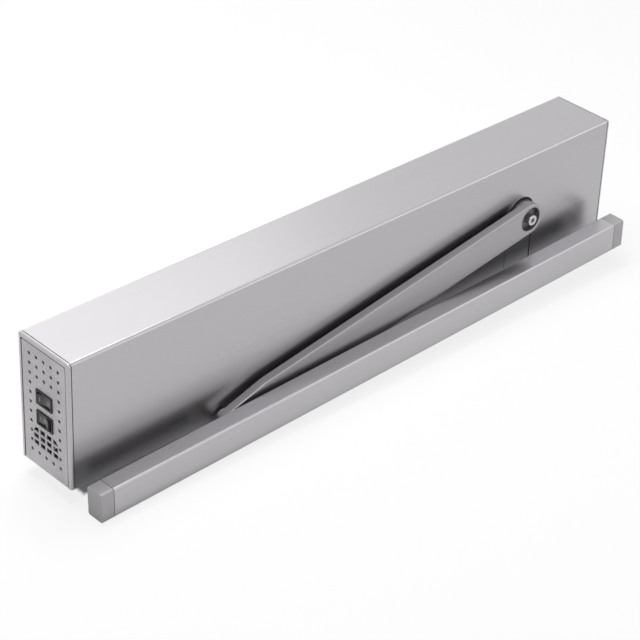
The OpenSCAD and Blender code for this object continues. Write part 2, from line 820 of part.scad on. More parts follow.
// Toothed rack that the spring pulls on
module spring_rack() {
    pitch = PI * rack_module;
    gaps_left = floor((axle_x - rack_left_x - pitch / 2) / pitch);
    gaps_right = floor((rack_right_x - axle_x - pitch / 2) / pitch);
    color("gray")
    slab_y(rack_y, rack_y + rack_width) difference() {
        translate([rack_left_x, rack_bottom_z])
            square([rack_right_x - rack_left_x, rack_tip_z - rack_bottom_z]);
        for (i = [-gaps_left:gaps_right]) translate([axle_x + i * pitch, rack_pitch_z]) rack_gap();
    }
}

// Rod from the rack through the spring, with the spring's seat on it
module spring_rod() {
    left = spring_left_x - spring_seat - 10;
    color("silver")
    union() {
        rod_x(rack_mid_y, rod_z, spring_rod_d / 2, left, rack_left_x);
        rod_x(rack_mid_y, rod_z, spring_mean_d / 2 + spring_wire / 2 + 1,
            spring_right_x, spring_right_x + spring_seat);
        rod_x(rack_mid_y, rod_z, spring_mean_d / 2 - spring_wire / 2 - 0.6,
            spring_right_x - 4, spring_right_x + 1);
    }
}

// Points of the spring's wire: rings of a coil that winds along x
spring_rings_per_turn = 12;
spring_sides = 6;
spring_rings = spring_turns * spring_rings_per_turn;
spring_run = spring_length - spring_wire - 2 * slide_play;
function spring_centre(i) =
    let(a = 360 * i / spring_rings_per_turn)
    [spring_left_x + slide_play + spring_wire / 2 + spring_run * i / spring_rings,
        spring_mean_d / 2 * cos(a), spring_mean_d / 2 * sin(a)];
function spring_ring(i) =
    let(a = 360 * i / spring_rings_per_turn, c = spring_centre(i))
    [for (k = [0:spring_sides - 1])
        let(b = 360 * k / spring_sides)
        c + spring_wire / 2 * [sin(b), cos(b) * cos(a), cos(b) * sin(a)]];
echo(spring_gap = spring_run / spring_turns - spring_wire);

// Compression spring, one unbroken coil
module closer_spring() {
    points = [for (i = [0:spring_rings]) each spring_ring(i)];
    last = spring_rings * spring_sides;
    sides = [for (i = [0:spring_rings - 1], k = [0:spring_sides - 1], half = [0, 1])
        let(
            a = i * spring_sides + k,
            b = i * spring_sides + (k + 1) % spring_sides,
            c = a + spring_sides,
            d = b + spring_sides
        )
        half == 0 ? [a, b, d] : [a, d, c]];
    ends = [for (k = [1:spring_sides - 2], end = [0, 1])
        end == 0 ? [0, k + 1, k] : [last, last + k, last + k + 1]];
    color("darkslategray")
    translate([0, rack_mid_y, rod_z]) polyhedron(points, concat(sides, ends));
}

// Angle bracket that the spring pushes against
module spring_bracket() {
    reach = spring_mean_d / 2 + spring_wire / 2 + 2;
    color("darkgray")
    difference() {
        union() {
            slab_x(spring_left_x - spring_seat, spring_left_x) union() {
                translate([rack_mid_y, rod_z]) circle(reach);
                translate([rack_mid_y - reach, plate_thickness]) square([2 * reach, rod_z - plate_thickness]);
            }
            translate([spring_left_x - spring_seat - bracket_foot, rack_mid_y - reach, plate_thickness])
                cube([bracket_foot + spring_seat, 2 * reach, 4]);
            for (y = [rack_mid_y - reach, rack_mid_y + reach - 3]) slab_y(y, y + 3)
                polygon([
                    [spring_left_x - spring_seat - bracket_foot, plate_thickness + 3],
                    [spring_left_x - spring_seat + 1, plate_thickness + 3],
                    [spring_left_x - spring_seat + 1, rod_z]
                ]);
        }
        rod_x(rack_mid_y, rod_z, spring_rod_d / 2 + running_play,
            spring_left_x - spring_seat - cut, spring_left_x + cut);
    }
}

// Bronze pad and cheeks that the rack slides on
module rack_guide() {
    cheek = 2.2;
    half = 9 * rack_module;
    color("peru")
    difference() {
        translate([axle_x - half, rack_y - slide_play - cheek, plate_thickness + frame_plate])
            cube([2 * half, rack_width + 2 * slide_play + 2 * cheek,
                rack_root_z - 2 - plate_thickness - frame_plate]);
        translate([axle_x - half - cut, rack_y - slide_play, rack_bottom_z - slide_play])
            cube([2 * half + 2 * cut, rack_width + 2 * slide_play, housing_depth]);
    }
}

module inter_shaft() {
    color("silver")
    rod_y(inter_x, inter_z, inter_shaft_d / 2, frame_front_y + 2, frame_rear_y - 2);
}

// Intermediate gear and pinion, cut from one piece
module inter_gear() {
    color("goldenrod")
    difference() {
        union() {
            gear(inter_x, inter_z, axle_gear_module, inter_pinion_teeth,
                inter_angle + 180 + 180 / inter_pinion_teeth, axle_gear_y - 1, motor_gear_y);
            gear(inter_x, inter_z, motor_gear_module, inter_gear_teeth, motor_angle,
                motor_gear_y, motor_gear_y + motor_gear_width);
        }
        rod_y(inter_x, inter_z, inter_shaft_d / 2 + running_play,
            axle_gear_y - 1 - cut, motor_gear_y + motor_gear_width + cut);
    }
}

// Steel angle that carries the motor
module motor_bracket() {
    y0 = motor_face_y;
    y1 = motor_face_y + motor_sheet;
    foot = motor_d * 0.36;
    half = motor_d / 2;
    edge_x = min(motor_x + half, inter_x - inter_pinion_r - axle_gear_module - 2);
    color("slategray")
    difference() {
        union() {
            slab_y(y0, y1) intersection() {
                union() {
                    translate([motor_x, motor_z]) circle(half);
                    translate([motor_x - half, plate_thickness])
                        square([2 * half, motor_z - plate_thickness]);
                }
                translate([motor_x - half, 0]) square([edge_x - motor_x + half, housing_depth]);
            }
            translate([motor_x - half, y0, plate_thickness])
                cube([edge_x - motor_x + half, foot, motor_sheet]);
        }
        rod_y(motor_x, motor_z, motor_pinion_r + 3, y0 - cut, y1 + cut);
    }
}

// Geared motor, a closed can with a shaft hole
module drive_motor() {
    y0 = frame_front_y + encoder_length;
    y1 = motor_face_y;
    step = motor_d * 0.07;
    color("dimgray")
    difference() {
        union() {
            rod_y(motor_x, motor_z, motor_d * 0.475, y0 + step, y1);
            rod_y(motor_x, motor_z, motor_d * 0.44, y0, y0 + step);
            rod_y(motor_x, motor_z, motor_d / 2, y1 - motor_d * 0.23, y1 - motor_d * 0.05);
        }
        rod_y(motor_x, motor_z, motor_shaft_r + running_play, y1 - motor_bore, y1 + cut);
    }
}

// Encoder on the rear of the motor
module motor_encoder() {
    color("black")
    rod_y(motor_x, motor_z, encoder_d / 2, frame_front_y, frame_front_y + encoder_length);
}

// Motor's pinion on its shaft
module motor_pinion() {
    color("silver")
    union() {
        gear(motor_x, motor_z, motor_gear_module, motor_pinion_teeth,
            motor_angle + 180 + 180 / motor_pinion_teeth, motor_gear_y, motor_gear_y + motor_gear_width);
        rod_y(motor_x, motor_z, motor_shaft_r, motor_face_y - motor_bore + 0.5,
            motor_gear_y + motor_gear_width + 2);
    }
}

// Power supply in its sheet case
module power_supply() {
    wall = 1;
    color("lightslategray")
    difference() {
        translate([supply_x, -supply_width / 2, plate_thickness])
            cube([supply_length, supply_width, supply_height]);
        for (i = [0:7], s = [-1, 1])
            translate([supply_x + 10 + i * (supply_length - 24) / 7, s * supply_width / 2 - wall,
                plate_thickness + supply_height * 0.35])
            cube([3, 2 * wall, supply_height * 0.4]);
    }
}

// Circuit board that holds the control
module control_board() {
    color("darkgreen")
    slab_z(board_z, board_top_z) difference() {
        translate([board_x, -board_width / 2]) square([board_length, board_width]);
        for (p = standoff_places()) translate(p) circle(1.6);
    }
}

function standoff_places() = [
    for (x = [board_x + 5, board_x + board_length - 5], y = [-1, 1]) [x, y * (board_width / 2 - 5)]
];

// Threaded posts under the board, with their screws
module board_standoffs() {
    color("goldenrod")
    for (p = standoff_places()) {
        rod_z(p[0], p[1], 3, plate_thickness, board_z);
        rod_z(p[0], p[1], 1.5, board_z, board_top_z);
        rod_z(p[0], p[1], 2.8, board_top_z, board_top_z + 2);
    }
}

// Row of screw terminals for the wiring
module terminal_blocks() {
    way = terminal_pitch;
    ways = 16;
    height = 2.4 * way;
    start = board_x + 2.8 * way;
    middle_y = board_width / 2 - 1.7 * way;
    color("darkgreen")
    difference() {
        translate([start, middle_y - 0.9 * way, board_top_z]) cube([way * ways, 1.8 * way, height]);
        for (i = [0:ways - 1]) {
            x = start + way * (i + 0.5);
            rod_z(x, middle_y, 0.34 * way, board_top_z + 1.6 * way, board_top_z + height + cut);
            translate([x - 0.28 * way, middle_y + 0.5 * way, board_top_z + 0.4 * way])
                cube([0.56 * way, 0.4 * way + cut, 0.8 * way]);
        }
    }
}

// Electrolytic capacitors
module board_capacitors() {
    color("midnightblue")
    for (i = [0:2])
        rod_z(board_x + 26 + i * 18, -board_width / 2 + 12, 7, board_top_z, board_top_z + 22);
}

// Relays beside the terminals
module board_relays() {
    color("black")
    for (i = [0:2]) translate([board_x + 18 + i * 18, -4, board_top_z]) cube([14, 12, 14]);
}

// Finned cooler for the motor's output stage
module board_heat_sink() {
    fins = 6;
    length = 24;
    width = 20;
    fin = 1.5;
    start = board_x + board_length - length - 12;
    color("black")
    translate([start, -board_width / 2 + 6, board_top_z]) union() {
        cube([length, width, 3]);
        for (i = [0:fins - 1]) translate([0, i * (width - fin) / (fins - 1), 0]) cube([length, fin, 16]);
    }
}

// Depth of the recess in the arm's hub
function hub_recess_depth() = arm_thickness - hub_floor;

// Flat lever with a round hub, a parallel blade and a tapered tip
module arm_lever() {
    half = arm_width / 2;
    tip = arm_tip_width / 2;
    shoulder = arm_length - arm_taper_length;
    color("darkgray")
    translate([axle_x, 0, axle_height]) rotate([0, -arm_slope, 0]) difference() {
        union() {
            slab_y(arm_front_y, arm_back_y) {
                circle(half);
                translate([-shoulder, -half]) square([shoulder, arm_width]);
                translate([-arm_length, 0]) circle(tip);
                polygon(taper_points(half, tip, shoulder));
            }
            rod_y(0, 0, hub_boss_d / 2, arm_back_y - cut, arm_back_y + hub_boss_height);
        }
        rod_y(0, 0, hub_recess_d / 2, arm_front_y - cut, arm_front_y + hub_recess_depth());
        slab_y(arm_front_y, arm_back_y + cut) square(axle_square + 2 * seat_play, center = true);
        rod_y(0, 0, axle_d / 2 - 2 + seat_play, arm_back_y, arm_back_y + hub_boss_height + cut);
        rod_y(-arm_length, 0, slide_pin_d / 2 + running_play, arm_front_y - cut, arm_back_y + cut);
    }
}

// Corners of the tapered tip: lines from the blade's shoulder to the tip's circle
function taper_points(half, tip, shoulder) =
    let(
        run = sqrt(pow(arm_taper_length, 2) + pow(half, 2)),
        angle = atan2(half, arm_taper_length) + acos(tip / run),
        start = tip * 0.985,
        touch = [-arm_length + start * cos(angle), start * sin(angle)]
    )
    [[-shoulder, half], [-shoulder, -half], [touch[0], -touch[1]], touch];

// Cap screw with a washer that holds the arm on the axle
module arm_screw() {
    head_y = arm_front_y - arm_screw_proud;
    floor_y = arm_front_y + hub_recess_depth();
    color("silver")
    difference() {
        union() {
            rod_y(axle_x, axle_height, arm_screw_head_d / 2, head_y, floor_y - 2);
            rod_y(axle_x, axle_height, hub_recess_d / 2 - 1.2, floor_y - 2, floor_y);
            rod_y(axle_x, axle_height, arm_screw_shank_d / 2, floor_y - cut, arm_back_y + 11);
        }
        rod_y(axle_x, axle_height, arm_screw_head_d * 0.26, head_y - cut, head_y + 4, $fn = 6);
    }
}

// Places its children on the slide pin, along the rail
module on_rail() {
    translate([pin_x, 0, pin_z]) rotate([0, -rail_slope, 0]) children();
}

// Shouldered pin from the arm's tip into the slide block
module slide_pin() {
    color("silver")
    on_rail() {
        rod_y(0, 0, slide_pin_d / 2, rail_back_y - rail_wall - 9, arm_back_y + 0.2);
        rod_y(0, 0, slide_pin_d / 2 + 3, arm_back_y + 0.2, arm_back_y + 2.4);
    }
}

// Plastic block that runs in the rail
module slide_block() {
    y0 = rail_front_y + rail_wall + slide_play;
    y1 = rail_back_y - rail_wall - slide_play;
    height = channel_height - 2 * slide_play;
    color("ivory")
    on_rail() difference() {
        slab_y(y0, y1) round_rect(slide_block_length, height, 3);
        rod_y(0, 0, slide_pin_d / 2, rail_back_y - rail_wall - 9, y1 + cut);
        for (s = [-1, 1]) slab_y(y0 - cut, y1 + cut)
            translate([s * slide_block_length * 0.34, 0]) round_rect(3, height * 0.6, 1.4);
    }
}

// Rail's outer section in the y-z plane
module rail_section() {
    translate([(rail_back_y + rail_front_y) / 2, 0]) round_rect(rail_depth, rail_height, rail_radius);
}

// Slotted channel that is screwed to the door leaf
module slide_rail() {
    left = -rail_pin_from_end + rail_cap_length + rail_seam;
    right = rail_right - rail_cap_length - rail_seam;
    color("silver")
    on_rail() slab_x(left, right) difference() {
        rail_section();
        translate([rail_front_y + rail_wall, -channel_height / 2])
            square([rail_depth - 2 * rail_wall, channel_height]);
        translate([rail_back_y - rail_wall - cut, -rail_slot / 2]) square([rail_wall + 2 * cut, rail_slot]);
    }
}

// End cap of the rail, open towards the door leaf and hollow over the screw block
module rail_cap(x0, x1, inner0, inner1) {
    wall = rail_cap_wall;
    color("lightgray")
    on_rail() difference() {
        slab_x(x0, x1) rail_section();
        translate([inner0, rail_front_y + wall, -rail_height / 2 - cut])
            cube([inner1 - inner0, rail_depth - 2 * wall, rail_height - wall + cut]);
    }
}

module left_rail_cap() {
    end = -rail_pin_from_end;
    rail_cap(end, end + rail_cap_length, end + rail_cap_wall, end + rail_cap_length + cut);
}

module right_rail_cap() {
    end = rail_right;
    rail_cap(end - rail_cap_length, end, end - rail_cap_length - cut, end - rail_cap_wall);
}

// Blocks in the rail's ends, each with a hole for a screw into the door leaf
module rail_blocks() {
    tongue = 14;
    block_h = channel_height - 2 * seat_play;
    block_d = rail_depth - 2 * rail_wall - 2 * seat_play;
    block_y = rail_front_y + rail_wall + seat_play;
    low = -rail_height / 2;
    color("gray")
    on_rail() for (s = [-1, 1]) {
        end = s < 0 ? -rail_pin_from_end : rail_right;
        far = end - s * (rail_cap_wall + seat_play);
        seam = end - s * rail_cap_length;
        near = seam - s * tongue;
        hole = end - s * (rail_cap_length + rail_cap_wall) / 2;
        difference() {
            union() {
                translate([min(far, near), block_y, -block_h / 2]) cube([abs(far - near), block_d, block_h]);
                translate([min(far, seam), block_y, low]) cube([abs(far - seam), block_d, rail_height / 2]);
            }
            rod_z(hole, (rail_front_y + rail_back_y) / 2, rail_hole_d / 2, low - cut, rail_height / 2);
        }
    }
}

wall_plate();
cover();
notch_filler();
left_end_cap();
vent_plate();
right_end_cap();
power_switch();
power_rocker();
program_switch();
program_rocker();
gear_frame();
frame_screws();
front_bearing();
rear_bearing();
axle_seal();
drive_axle();
axle_gear();
rack_pinion();
arm_lever();
arm_screw();
spring_rack();
spring_rod();
closer_spring();
spring_bracket();
rack_guide();
inter_shaft();
inter_gear();
motor_bracket();
drive_motor();
motor_encoder();
motor_pinion();
power_supply();
control_board();
board_standoffs();
terminal_blocks();
board_capacitors();
board_relays();
board_heat_sink();
slide_pin();
slide_block();
slide_rail();
left_rail_cap();
right_rail_cap();
rail_blocks();
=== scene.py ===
"""Looks of a swing door operator with a slide arm: finishes, fine pieces, studio and camera.

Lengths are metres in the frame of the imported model: x runs along the housing, the side with the arm
faces -y, and z points away from the wall plate.
"""

import json
import logging
import math
from dataclasses import dataclass
from enum import Enum
from typing import ClassVar

import bmesh
import bpy
import numpy as np
from mathutils import Matrix, Vector

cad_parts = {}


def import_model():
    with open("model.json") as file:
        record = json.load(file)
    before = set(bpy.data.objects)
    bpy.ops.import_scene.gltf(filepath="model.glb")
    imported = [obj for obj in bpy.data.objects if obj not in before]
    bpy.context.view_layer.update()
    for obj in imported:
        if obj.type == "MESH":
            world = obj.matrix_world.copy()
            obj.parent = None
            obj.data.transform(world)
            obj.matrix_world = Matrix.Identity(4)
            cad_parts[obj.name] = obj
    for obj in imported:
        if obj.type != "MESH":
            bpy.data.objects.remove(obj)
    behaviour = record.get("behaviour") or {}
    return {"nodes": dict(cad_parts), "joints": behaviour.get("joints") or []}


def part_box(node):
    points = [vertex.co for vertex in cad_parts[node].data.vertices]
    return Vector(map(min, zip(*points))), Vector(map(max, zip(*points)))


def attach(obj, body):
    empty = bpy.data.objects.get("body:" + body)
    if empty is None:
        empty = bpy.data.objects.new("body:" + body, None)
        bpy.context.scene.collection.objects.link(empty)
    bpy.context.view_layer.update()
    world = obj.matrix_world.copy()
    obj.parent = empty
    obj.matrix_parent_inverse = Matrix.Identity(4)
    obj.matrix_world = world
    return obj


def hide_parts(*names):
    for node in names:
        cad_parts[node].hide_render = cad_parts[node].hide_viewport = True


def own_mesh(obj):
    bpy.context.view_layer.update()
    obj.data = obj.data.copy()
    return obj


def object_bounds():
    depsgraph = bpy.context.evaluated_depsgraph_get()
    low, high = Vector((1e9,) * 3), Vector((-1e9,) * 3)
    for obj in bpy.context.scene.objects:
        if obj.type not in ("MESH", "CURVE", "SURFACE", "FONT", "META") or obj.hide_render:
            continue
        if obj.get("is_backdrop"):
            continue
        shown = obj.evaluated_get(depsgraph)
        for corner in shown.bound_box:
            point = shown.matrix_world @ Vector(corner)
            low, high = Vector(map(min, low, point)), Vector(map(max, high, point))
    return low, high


log = logging.getLogger("door_operator")
MM = 0.001
FLOOR_GAP = 0.5 * MM
Triple = tuple[float, float, float]
Colour = Triple
Area = tuple[tuple[float, float], tuple[float, float]]
Socket = bpy.types.NodeSocket
Entry = Socket | float | tuple[float, ...]
Nodes = dict[str, bpy.types.Object]


def shade(code: str) -> Colour:
    """Linear colour of a display colour.

    Args:
        code: six hexadecimal digits, two for each of red, green and blue.

    Returns:
        The three linear values, by the display curve: v / 12.92 near black, else ((v + 0.055) / 1.055) ^ 2.4.
    """
    values = [int(code[i:i + 2], 16) / 255 for i in (0, 2, 4)]
    return tuple(v / 12.92 if v <= 0.04045 else ((v + 0.055) / 1.055) ** 2.4 for v in values)


class Grain(Enum):
    """Fine relief of a surface."""

    DRAWN_X = "drawn along x"
    TURNED_Y = "turned about y"
    POWDER = "powder paint"
    MOULDED = "moulded"
    CAST = "sand cast"
    SPANGLE = "zinc spangle"


@dataclass(frozen=True)
class Finish:
    """One finish of the operator.

    Attributes:
        name: name of the material.
        colour: linear colour.
        metallic: share of metal, 0 to 1.
        roughness: mean roughness.
        grain: kind of relief.
        depth: strength of the relief, 0 to 1.
        mottle: share by which the colour wanders over the surface.
        edge: radius in metres by which sharp edges look rounded.
        gloss: specular level, 0.5 for common plastics.
    """

    name: str
    colour: Colour
    metallic: float
    roughness: float
    grain: Grain
    depth: float = 0.2
    mottle: float = 0.03
    edge: float = 0.0
    gloss: float = 0.5

    def make(self) -> bpy.types.Material:
        """Builds the material once and returns it after that."""
        known = bpy.data.materials.get(self.name)
        return known if known else Bench(self).material


RELIEF: dict[Grain, tuple[Triple, float]] = {
    Grain.DRAWN_X: ((4.0, 1400.0, 1400.0), 0.00001),
    Grain.TURNED_Y: ((900.0, 3000.0, 900.0), 0.00001),
    Grain.POWDER: ((1600.0, 1600.0, 1600.0), 0.00005),
    Grain.MOULDED: ((2600.0, 2600.0, 2600.0), 0.00002),
    Grain.CAST: ((700.0, 700.0, 700.0), 0.0001),
    Grain.SPANGLE: ((260.0, 260.0, 260.0), 0.00002),
}
PATCHES = (14.0, 22.0, 22.0)
SPECKS = (900.0, 900.0, 900.0)
NOISE_SPAN = (0.3, 0.7)
ROUGHNESS_SWING = 0.1
EDGE_SAMPLES = 6


@dataclass
class Graph:
    """Node tree that is written as calls, each of which adds one node.

    Attributes:
        tree: the tree that gets the nodes.
    """

    tree: bpy.types.NodeTree

    def add(self, kind: str, values: dict[str | int, Entry] | None = None,
            **settings: str | int) -> bpy.types.Node:
        """Adds a node.

        Args:
            kind: the node's type, without the word ShaderNode before it.
            values: what its inputs get, by name or number: a socket to follow, or a fixed value.
            settings: its own settings.

        Returns:
            The new node.
        """
        node = self.tree.nodes.new(f"ShaderNode{kind}")
        for name, setting in settings.items():
            setattr(node, name, setting)
        for name, value in (values or {}).items():
            if isinstance(value, Socket):
                self.tree.links.new(value, node.inputs[name])
            else:
                node.inputs[name].default_value = value
        return node

    def maths(self, operation: str, *values: Entry) -> Socket:
        """Adds one step of arithmetic on sockets or numbers and gives its result."""
        return self.add("Math", dict(enumerate(values)), operation=operation).outputs[0]

    def span(self, value: Socket, start: float, end: float, low: float, high: float,
             way: str = "SMOOTHSTEP") -> Socket:
        """Maps a stretch of values on to a range, and holds its ends outside.

        Args:
            value: what it follows.
            start: value at which the result is low.
            end: value at which the result is high.
            low: result up to the start.
            high: result from the end on.
            way: how it runs in between.

        Returns:
            The result.
        """
        values = {"Value": value, "From Min": start, "From Max": end, "To Min": low, "To Max": high}
        return self.add("MapRange", values, interpolation_type=way).outputs["Result"]


class Bench(Graph):
    """Node tree of one finish around a Principled shader.

    Attributes:
        material: the material that is built.
    """

    def __init__(self, finish: Finish) -> None:
        """Builds the material of a finish."""
        self.finish = finish
        self.material = bpy.data.materials.new(finish.name)
        self.material.use_nodes = True
        super().__init__(self.material.node_tree)
        self.shader = self.tree.nodes["Principled BSDF"]
        for name, value in (("Base Color", (*finish.colour, 1.0)), ("Metallic", finish.metallic),
                            ("Roughness", finish.roughness), ("Specular IOR Level", finish.gloss)):
            self.shader.inputs[name].default_value = value
        self.place = self.add("TexCoord").outputs["Object"]
        self.height = self.relief()
        self.colour()
        self.roughness()
        self.normal()

    def texture(self, kind: str, scale: Triple, **values: float) -> bpy.types.Node:
        """Adds a texture in object coordinates, whose scale is in cells per metre along x, y and z."""
        mapping = self.add("Mapping", {"Vector": self.place, "Scale": scale})
        return self.add(kind, {"Vector": mapping.outputs["Vector"], "Scale": 1.0, **values})

    def relief(self) -> Socket:
        """Height of the fine relief, from 0 to 1."""
        scale, _ = RELIEF[self.finish.grain]
        if self.finish.grain is Grain.SPANGLE:
            return self.texture("TexVoronoi", scale).outputs["Distance"]
        return self.texture("TexNoise", scale, Detail=3.0).outputs["Fac"]

    def colour(self) -> None:
        """Lets the colour wander between a darker and a lighter shade in patches and in specks."""
        patches = self.texture("TexNoise", PATCHES, Detail=4.0).outputs["Fac"]
        specks = self.texture("TexNoise", SPECKS, Detail=1.0).outputs["Fac"]
        both = self.maths("MULTIPLY_ADD", specks, 0.5, self.maths("MULTIPLY", patches, 0.5))
        dark, light = 1 - self.finish.mottle, 1 + self.finish.mottle
        mix = self.add("Mix", {
            "A": (*(dark * c for c in self.finish.colour), 1.0),
            "B": (*(min(1.0, light * c) for c in self.finish.colour), 1.0),
            "Factor": self.span(both, *NOISE_SPAN, 0.0, 1.0, "LINEAR"),
        }, data_type="RGBA")
        self.tree.links.new(mix.outputs["Result"], self.shader.inputs["Base Color"])

    def roughness(self) -> None:
        """Lets the roughness follow the relief by the same share each way."""
        low, high = (self.finish.roughness * (1 + way * ROUGHNESS_SWING) for way in (-1, 1))
        value = self.span(self.height, *NOISE_SPAN, low, min(1.0, high), "LINEAR")
        self.tree.links.new(value, self.shader.inputs["Roughness"])

    def normal(self) -> None:
        """Tilts the surface by its relief, on top of the softened edges."""
        _, size = RELIEF[self.finish.grain]
        bump = self.add("Bump", {"Strength": self.finish.depth, "Distance": size, "Height": self.height})
        if self.finish.edge > 0:
            bevel = self.add("Bevel", {"Radius": self.finish.edge}, samples=EDGE_SAMPLES)
            self.tree.links.new(bevel.outputs["Normal"], bump.inputs["Normal"])
        self.tree.links.new(bump.outputs["Normal"], self.shader.inputs["Normal"])


class Shell:
    """Mesh put together from grids of points."""

    MERGE = 2e-6
    COLLAPSE = 1e-7

    def __init__(self) -> None:
        """Starts with no points."""
        self.points: list[np.ndarray] = []
        self.quads: list[np.ndarray] = []
        self.coats: list[np.ndarray] = []
        self.count = 0

    def grid(self, points: np.ndarray, wrap_u: bool = False, wrap_v: bool = False, coat: int = 0) -> None:
        """Adds a surface given as a grid.

        Args:
            points: array of shape (u, v, 3).
            wrap_u: whether the last row joins the first.
            wrap_v: whether the last column joins the first.
            coat: number of its finish.
        """
        rows, columns = points.shape[:2]
        index = np.arange(rows * columns).reshape(rows, columns) + self.count
        if wrap_u:
            index = np.vstack([index, index[:1]])
        if wrap_v:
            index = np.hstack([index, index[:, :1]])
        quads = np.stack([index[:-1, :-1], index[1:, :-1], index[1:, 1:], index[:-1, 1:]], axis=-1)
        self.points.append(points.reshape(-1, 3))
        self.quads.append(quads.reshape(-1, 4))
        self.coats.append(np.full(quads.size // 4, coat, np.int32))
        self.count += rows * columns

    def lid(self, *rings: np.ndarray) -> None:
        """Closes rings of points, arrays of shape (n, 3), each with a fan to its middle."""
        for ring in rings:
            middle = np.broadcast_to(ring.mean(axis=0), ring.shape)
            self.grid(np.stack([ring, middle], axis=1), wrap_u=True)

    def build(self, name: str, *finishes: Finish, sharp: float = 32.0) -> bpy.types.Object:
        """Makes the object, with its doubles merged and its faces turned outwards.

        Args:
            name: name of the object.
            finishes: its finishes, by the numbers that the grids gave.
            sharp: angle in degrees past which an edge stays sharp.

        Returns:
            The new object, linked to the scene.
        """
        points, quads = np.concatenate(self.points), np.concatenate(self.quads)
        mesh = bpy.data.meshes.new(name)
        mesh.vertices.add(len(points))
        mesh.vertices.foreach_set("co", points.astype(np.float32).ravel())
        mesh.loops.add(quads.size)
        mesh.loops.foreach_set("vertex_index", quads.astype(np.int32).ravel())
        mesh.polygons.add(len(quads))
        mesh.polygons.foreach_set("loop_start", np.arange(0, quads.size, 4, dtype=np.int32))
        mesh.polygons.foreach_set("material_index", np.concatenate(self.coats))
        mesh.update(calc_edges=True)
        work = bmesh.new()
        work.from_mesh(mesh)
        bmesh.ops.remove_doubles(work, verts=work.verts, dist=self.MERGE)
        bmesh.ops.dissolve_degenerate(work, edges=work.edges, dist=self.COLLAPSE)
        bmesh.ops.recalc_face_normals(work, faces=work.faces)
        work.to_mesh(mesh)
        work.free()
        mesh.polygons.foreach_set("use_smooth", np.ones(len(mesh.polygons), bool))
        mesh.set_sharp_from_angle(angle=math.radians(sharp))
        for finish in finishes:
            mesh.materials.append(finish.make())
        piece = bpy.data.objects.new(name, mesh)
        bpy.context.scene.collection.objects.link(piece)
        log.info("built %s", name)
        return piece


def fillet(start: np.ndarray, corner: np.ndarray, end: np.ndarray, steps: int = 5) -> np.ndarray:
    """Quarter round between two points.

    Each point is corner + (start - corner) * (1 - sin a) + (end - corner) * (1 - cos a).

    Args:
        start: first point of the round.
        corner: the sharp corner that it replaces.
        end: last point of the round.
        steps: number of stretches.

    Returns:
        Array of steps + 1 points.
    """
    angle = np.linspace(0, math.pi / 2, steps + 1)[:, None]
    start, corner, end = (np.asarray(p, float) for p in (start, corner, end))
    return corner + (start - corner) * (1 - np.sin(angle)) + (end - corner) * (1 - np.cos(angle))


def outward(loop: np.ndarray) -> np.ndarray:
    """Unit normals of a closed plane loop that runs counter-clockwise: the tangent turned by -90 degrees.

    Args:
        loop: array of shape (n, 2).

    Returns:
        Array of shape (n, 2).
    """
    tangent = np.roll(loop, -1, axis=0) - np.roll(loop, 1, axis=0)
    normal = np.stack([tangent[:, 1], -tangent[:, 0]], axis=1)
    return normal / np.linalg.norm(normal, axis=1, keepdims=True)


def revolved(profile: np.ndarray, centre: Vector, sides: int) -> np.ndarray:
    """Surface of revolution about y: (x, y, z) = (cx + r cos a, y, cz + r sin a).

    Args:
        profile: array of shape (n, 2) that holds y and the radius r.
        centre: a point on the axis.
        sides: number of points around.

    Returns:
        Grid of shape (sides, n, 3).
    """
    angle = np.linspace(0, 2 * math.pi, sides, endpoint=False)[:, None]
    y, r = profile[:, 0][None, :], profile[:, 1][None, :]
    x = centre.x + r * np.cos(angle)
    z = centre.z + r * np.sin(angle)
    return np.stack([x, np.broadcast_to(y, x.shape), z], axis=-1)


def round_rectangle(width: float, height: float, radius: float, per_corner: int = 6) -> np.ndarray:
    """Rectangle round the origin, counter-clockwise, each corner a quarter circle.

    Args:
        width: size along the first axis.
        height: size along the second axis.
        radius: radius of the corners.
        per_corner: stretches in each corner.

    Returns:
        Array of shape (4 * (per_corner + 1), 2).
    """
    turn = np.linspace(0, math.pi / 2, per_corner + 1)
    loops = []
    for quarter, (sx, sy) in enumerate(((1, 1), (-1, 1), (-1, -1), (1, -1))):
        angle = turn + quarter * math.pi / 2
        middle = np.array([sx * (width / 2 - radius), sy * (height / 2 - radius)])
        loops.append(middle + radius * np.stack([np.cos(angle), np.sin(angle)], axis=1))
    return np.concatenate(loops)


PALE_FLOOR = Finish("pale_floor", (0.86, 0.86, 0.865), 0.0, 0.85, Grain.MOULDED, 0.0, 0.004)
ANODISED = Finish("satin_anodised_aluminium", shade("B4B2B5"), 1.0, 0.3, Grain.DRAWN_X, 0.04, 0.012)
ANODISED_FILLER = Finish("anodised_filler", shade("B4B2B5"), 1.0, 0.3, Grain.DRAWN_X, 0.04, 0.012, 0.0003)
CAP_SILVER = Finish("silver_cap_paint", shade("BCBABC"), 0.7, 0.3, Grain.MOULDED, 0.2, 0.015, 0.0004)
PLATE_SILVER = Finish("end_plate_powder_paint", shade("C6C3C6"), 0.35, 0.5, Grain.POWDER, 0.6, 0.24, 0.0003)
ARM_SILVER = Finish("arm_silver_paint", shade("A5A3A5"), 0.9, 0.34, Grain.POWDER, 0.15, 0.02)
# Painted shade: a darker grey metal than the arm's paint, for the hub recess's wall, its floor, the hole
# behind it and the pin's bore.
HUB_RECESS_PAINTED_SHADE = Finish("hub_recess_painted_shade", shade("8C888A"), 0.5, 0.4, Grain.TURNED_Y, 0.3, 0.05)
RAIL_SILVER = Finish("rail_anodised", shade("B6B4B7"), 1.0, 0.3, Grain.DRAWN_X, 0.06, 0.012, 0.0002)
RAIL_CAP_GREY = Finish("rail_cap_paint", shade("ACAAAC"), 0.5, 0.4, Grain.MOULDED, 0.3, 0.02, 0.0005)
SWITCH_BLACK = Finish("switch_frame_black", shade("2E2C2E"), 0.0, 0.45, Grain.MOULDED, 0.4, 0.04, 0.0, 0.25)
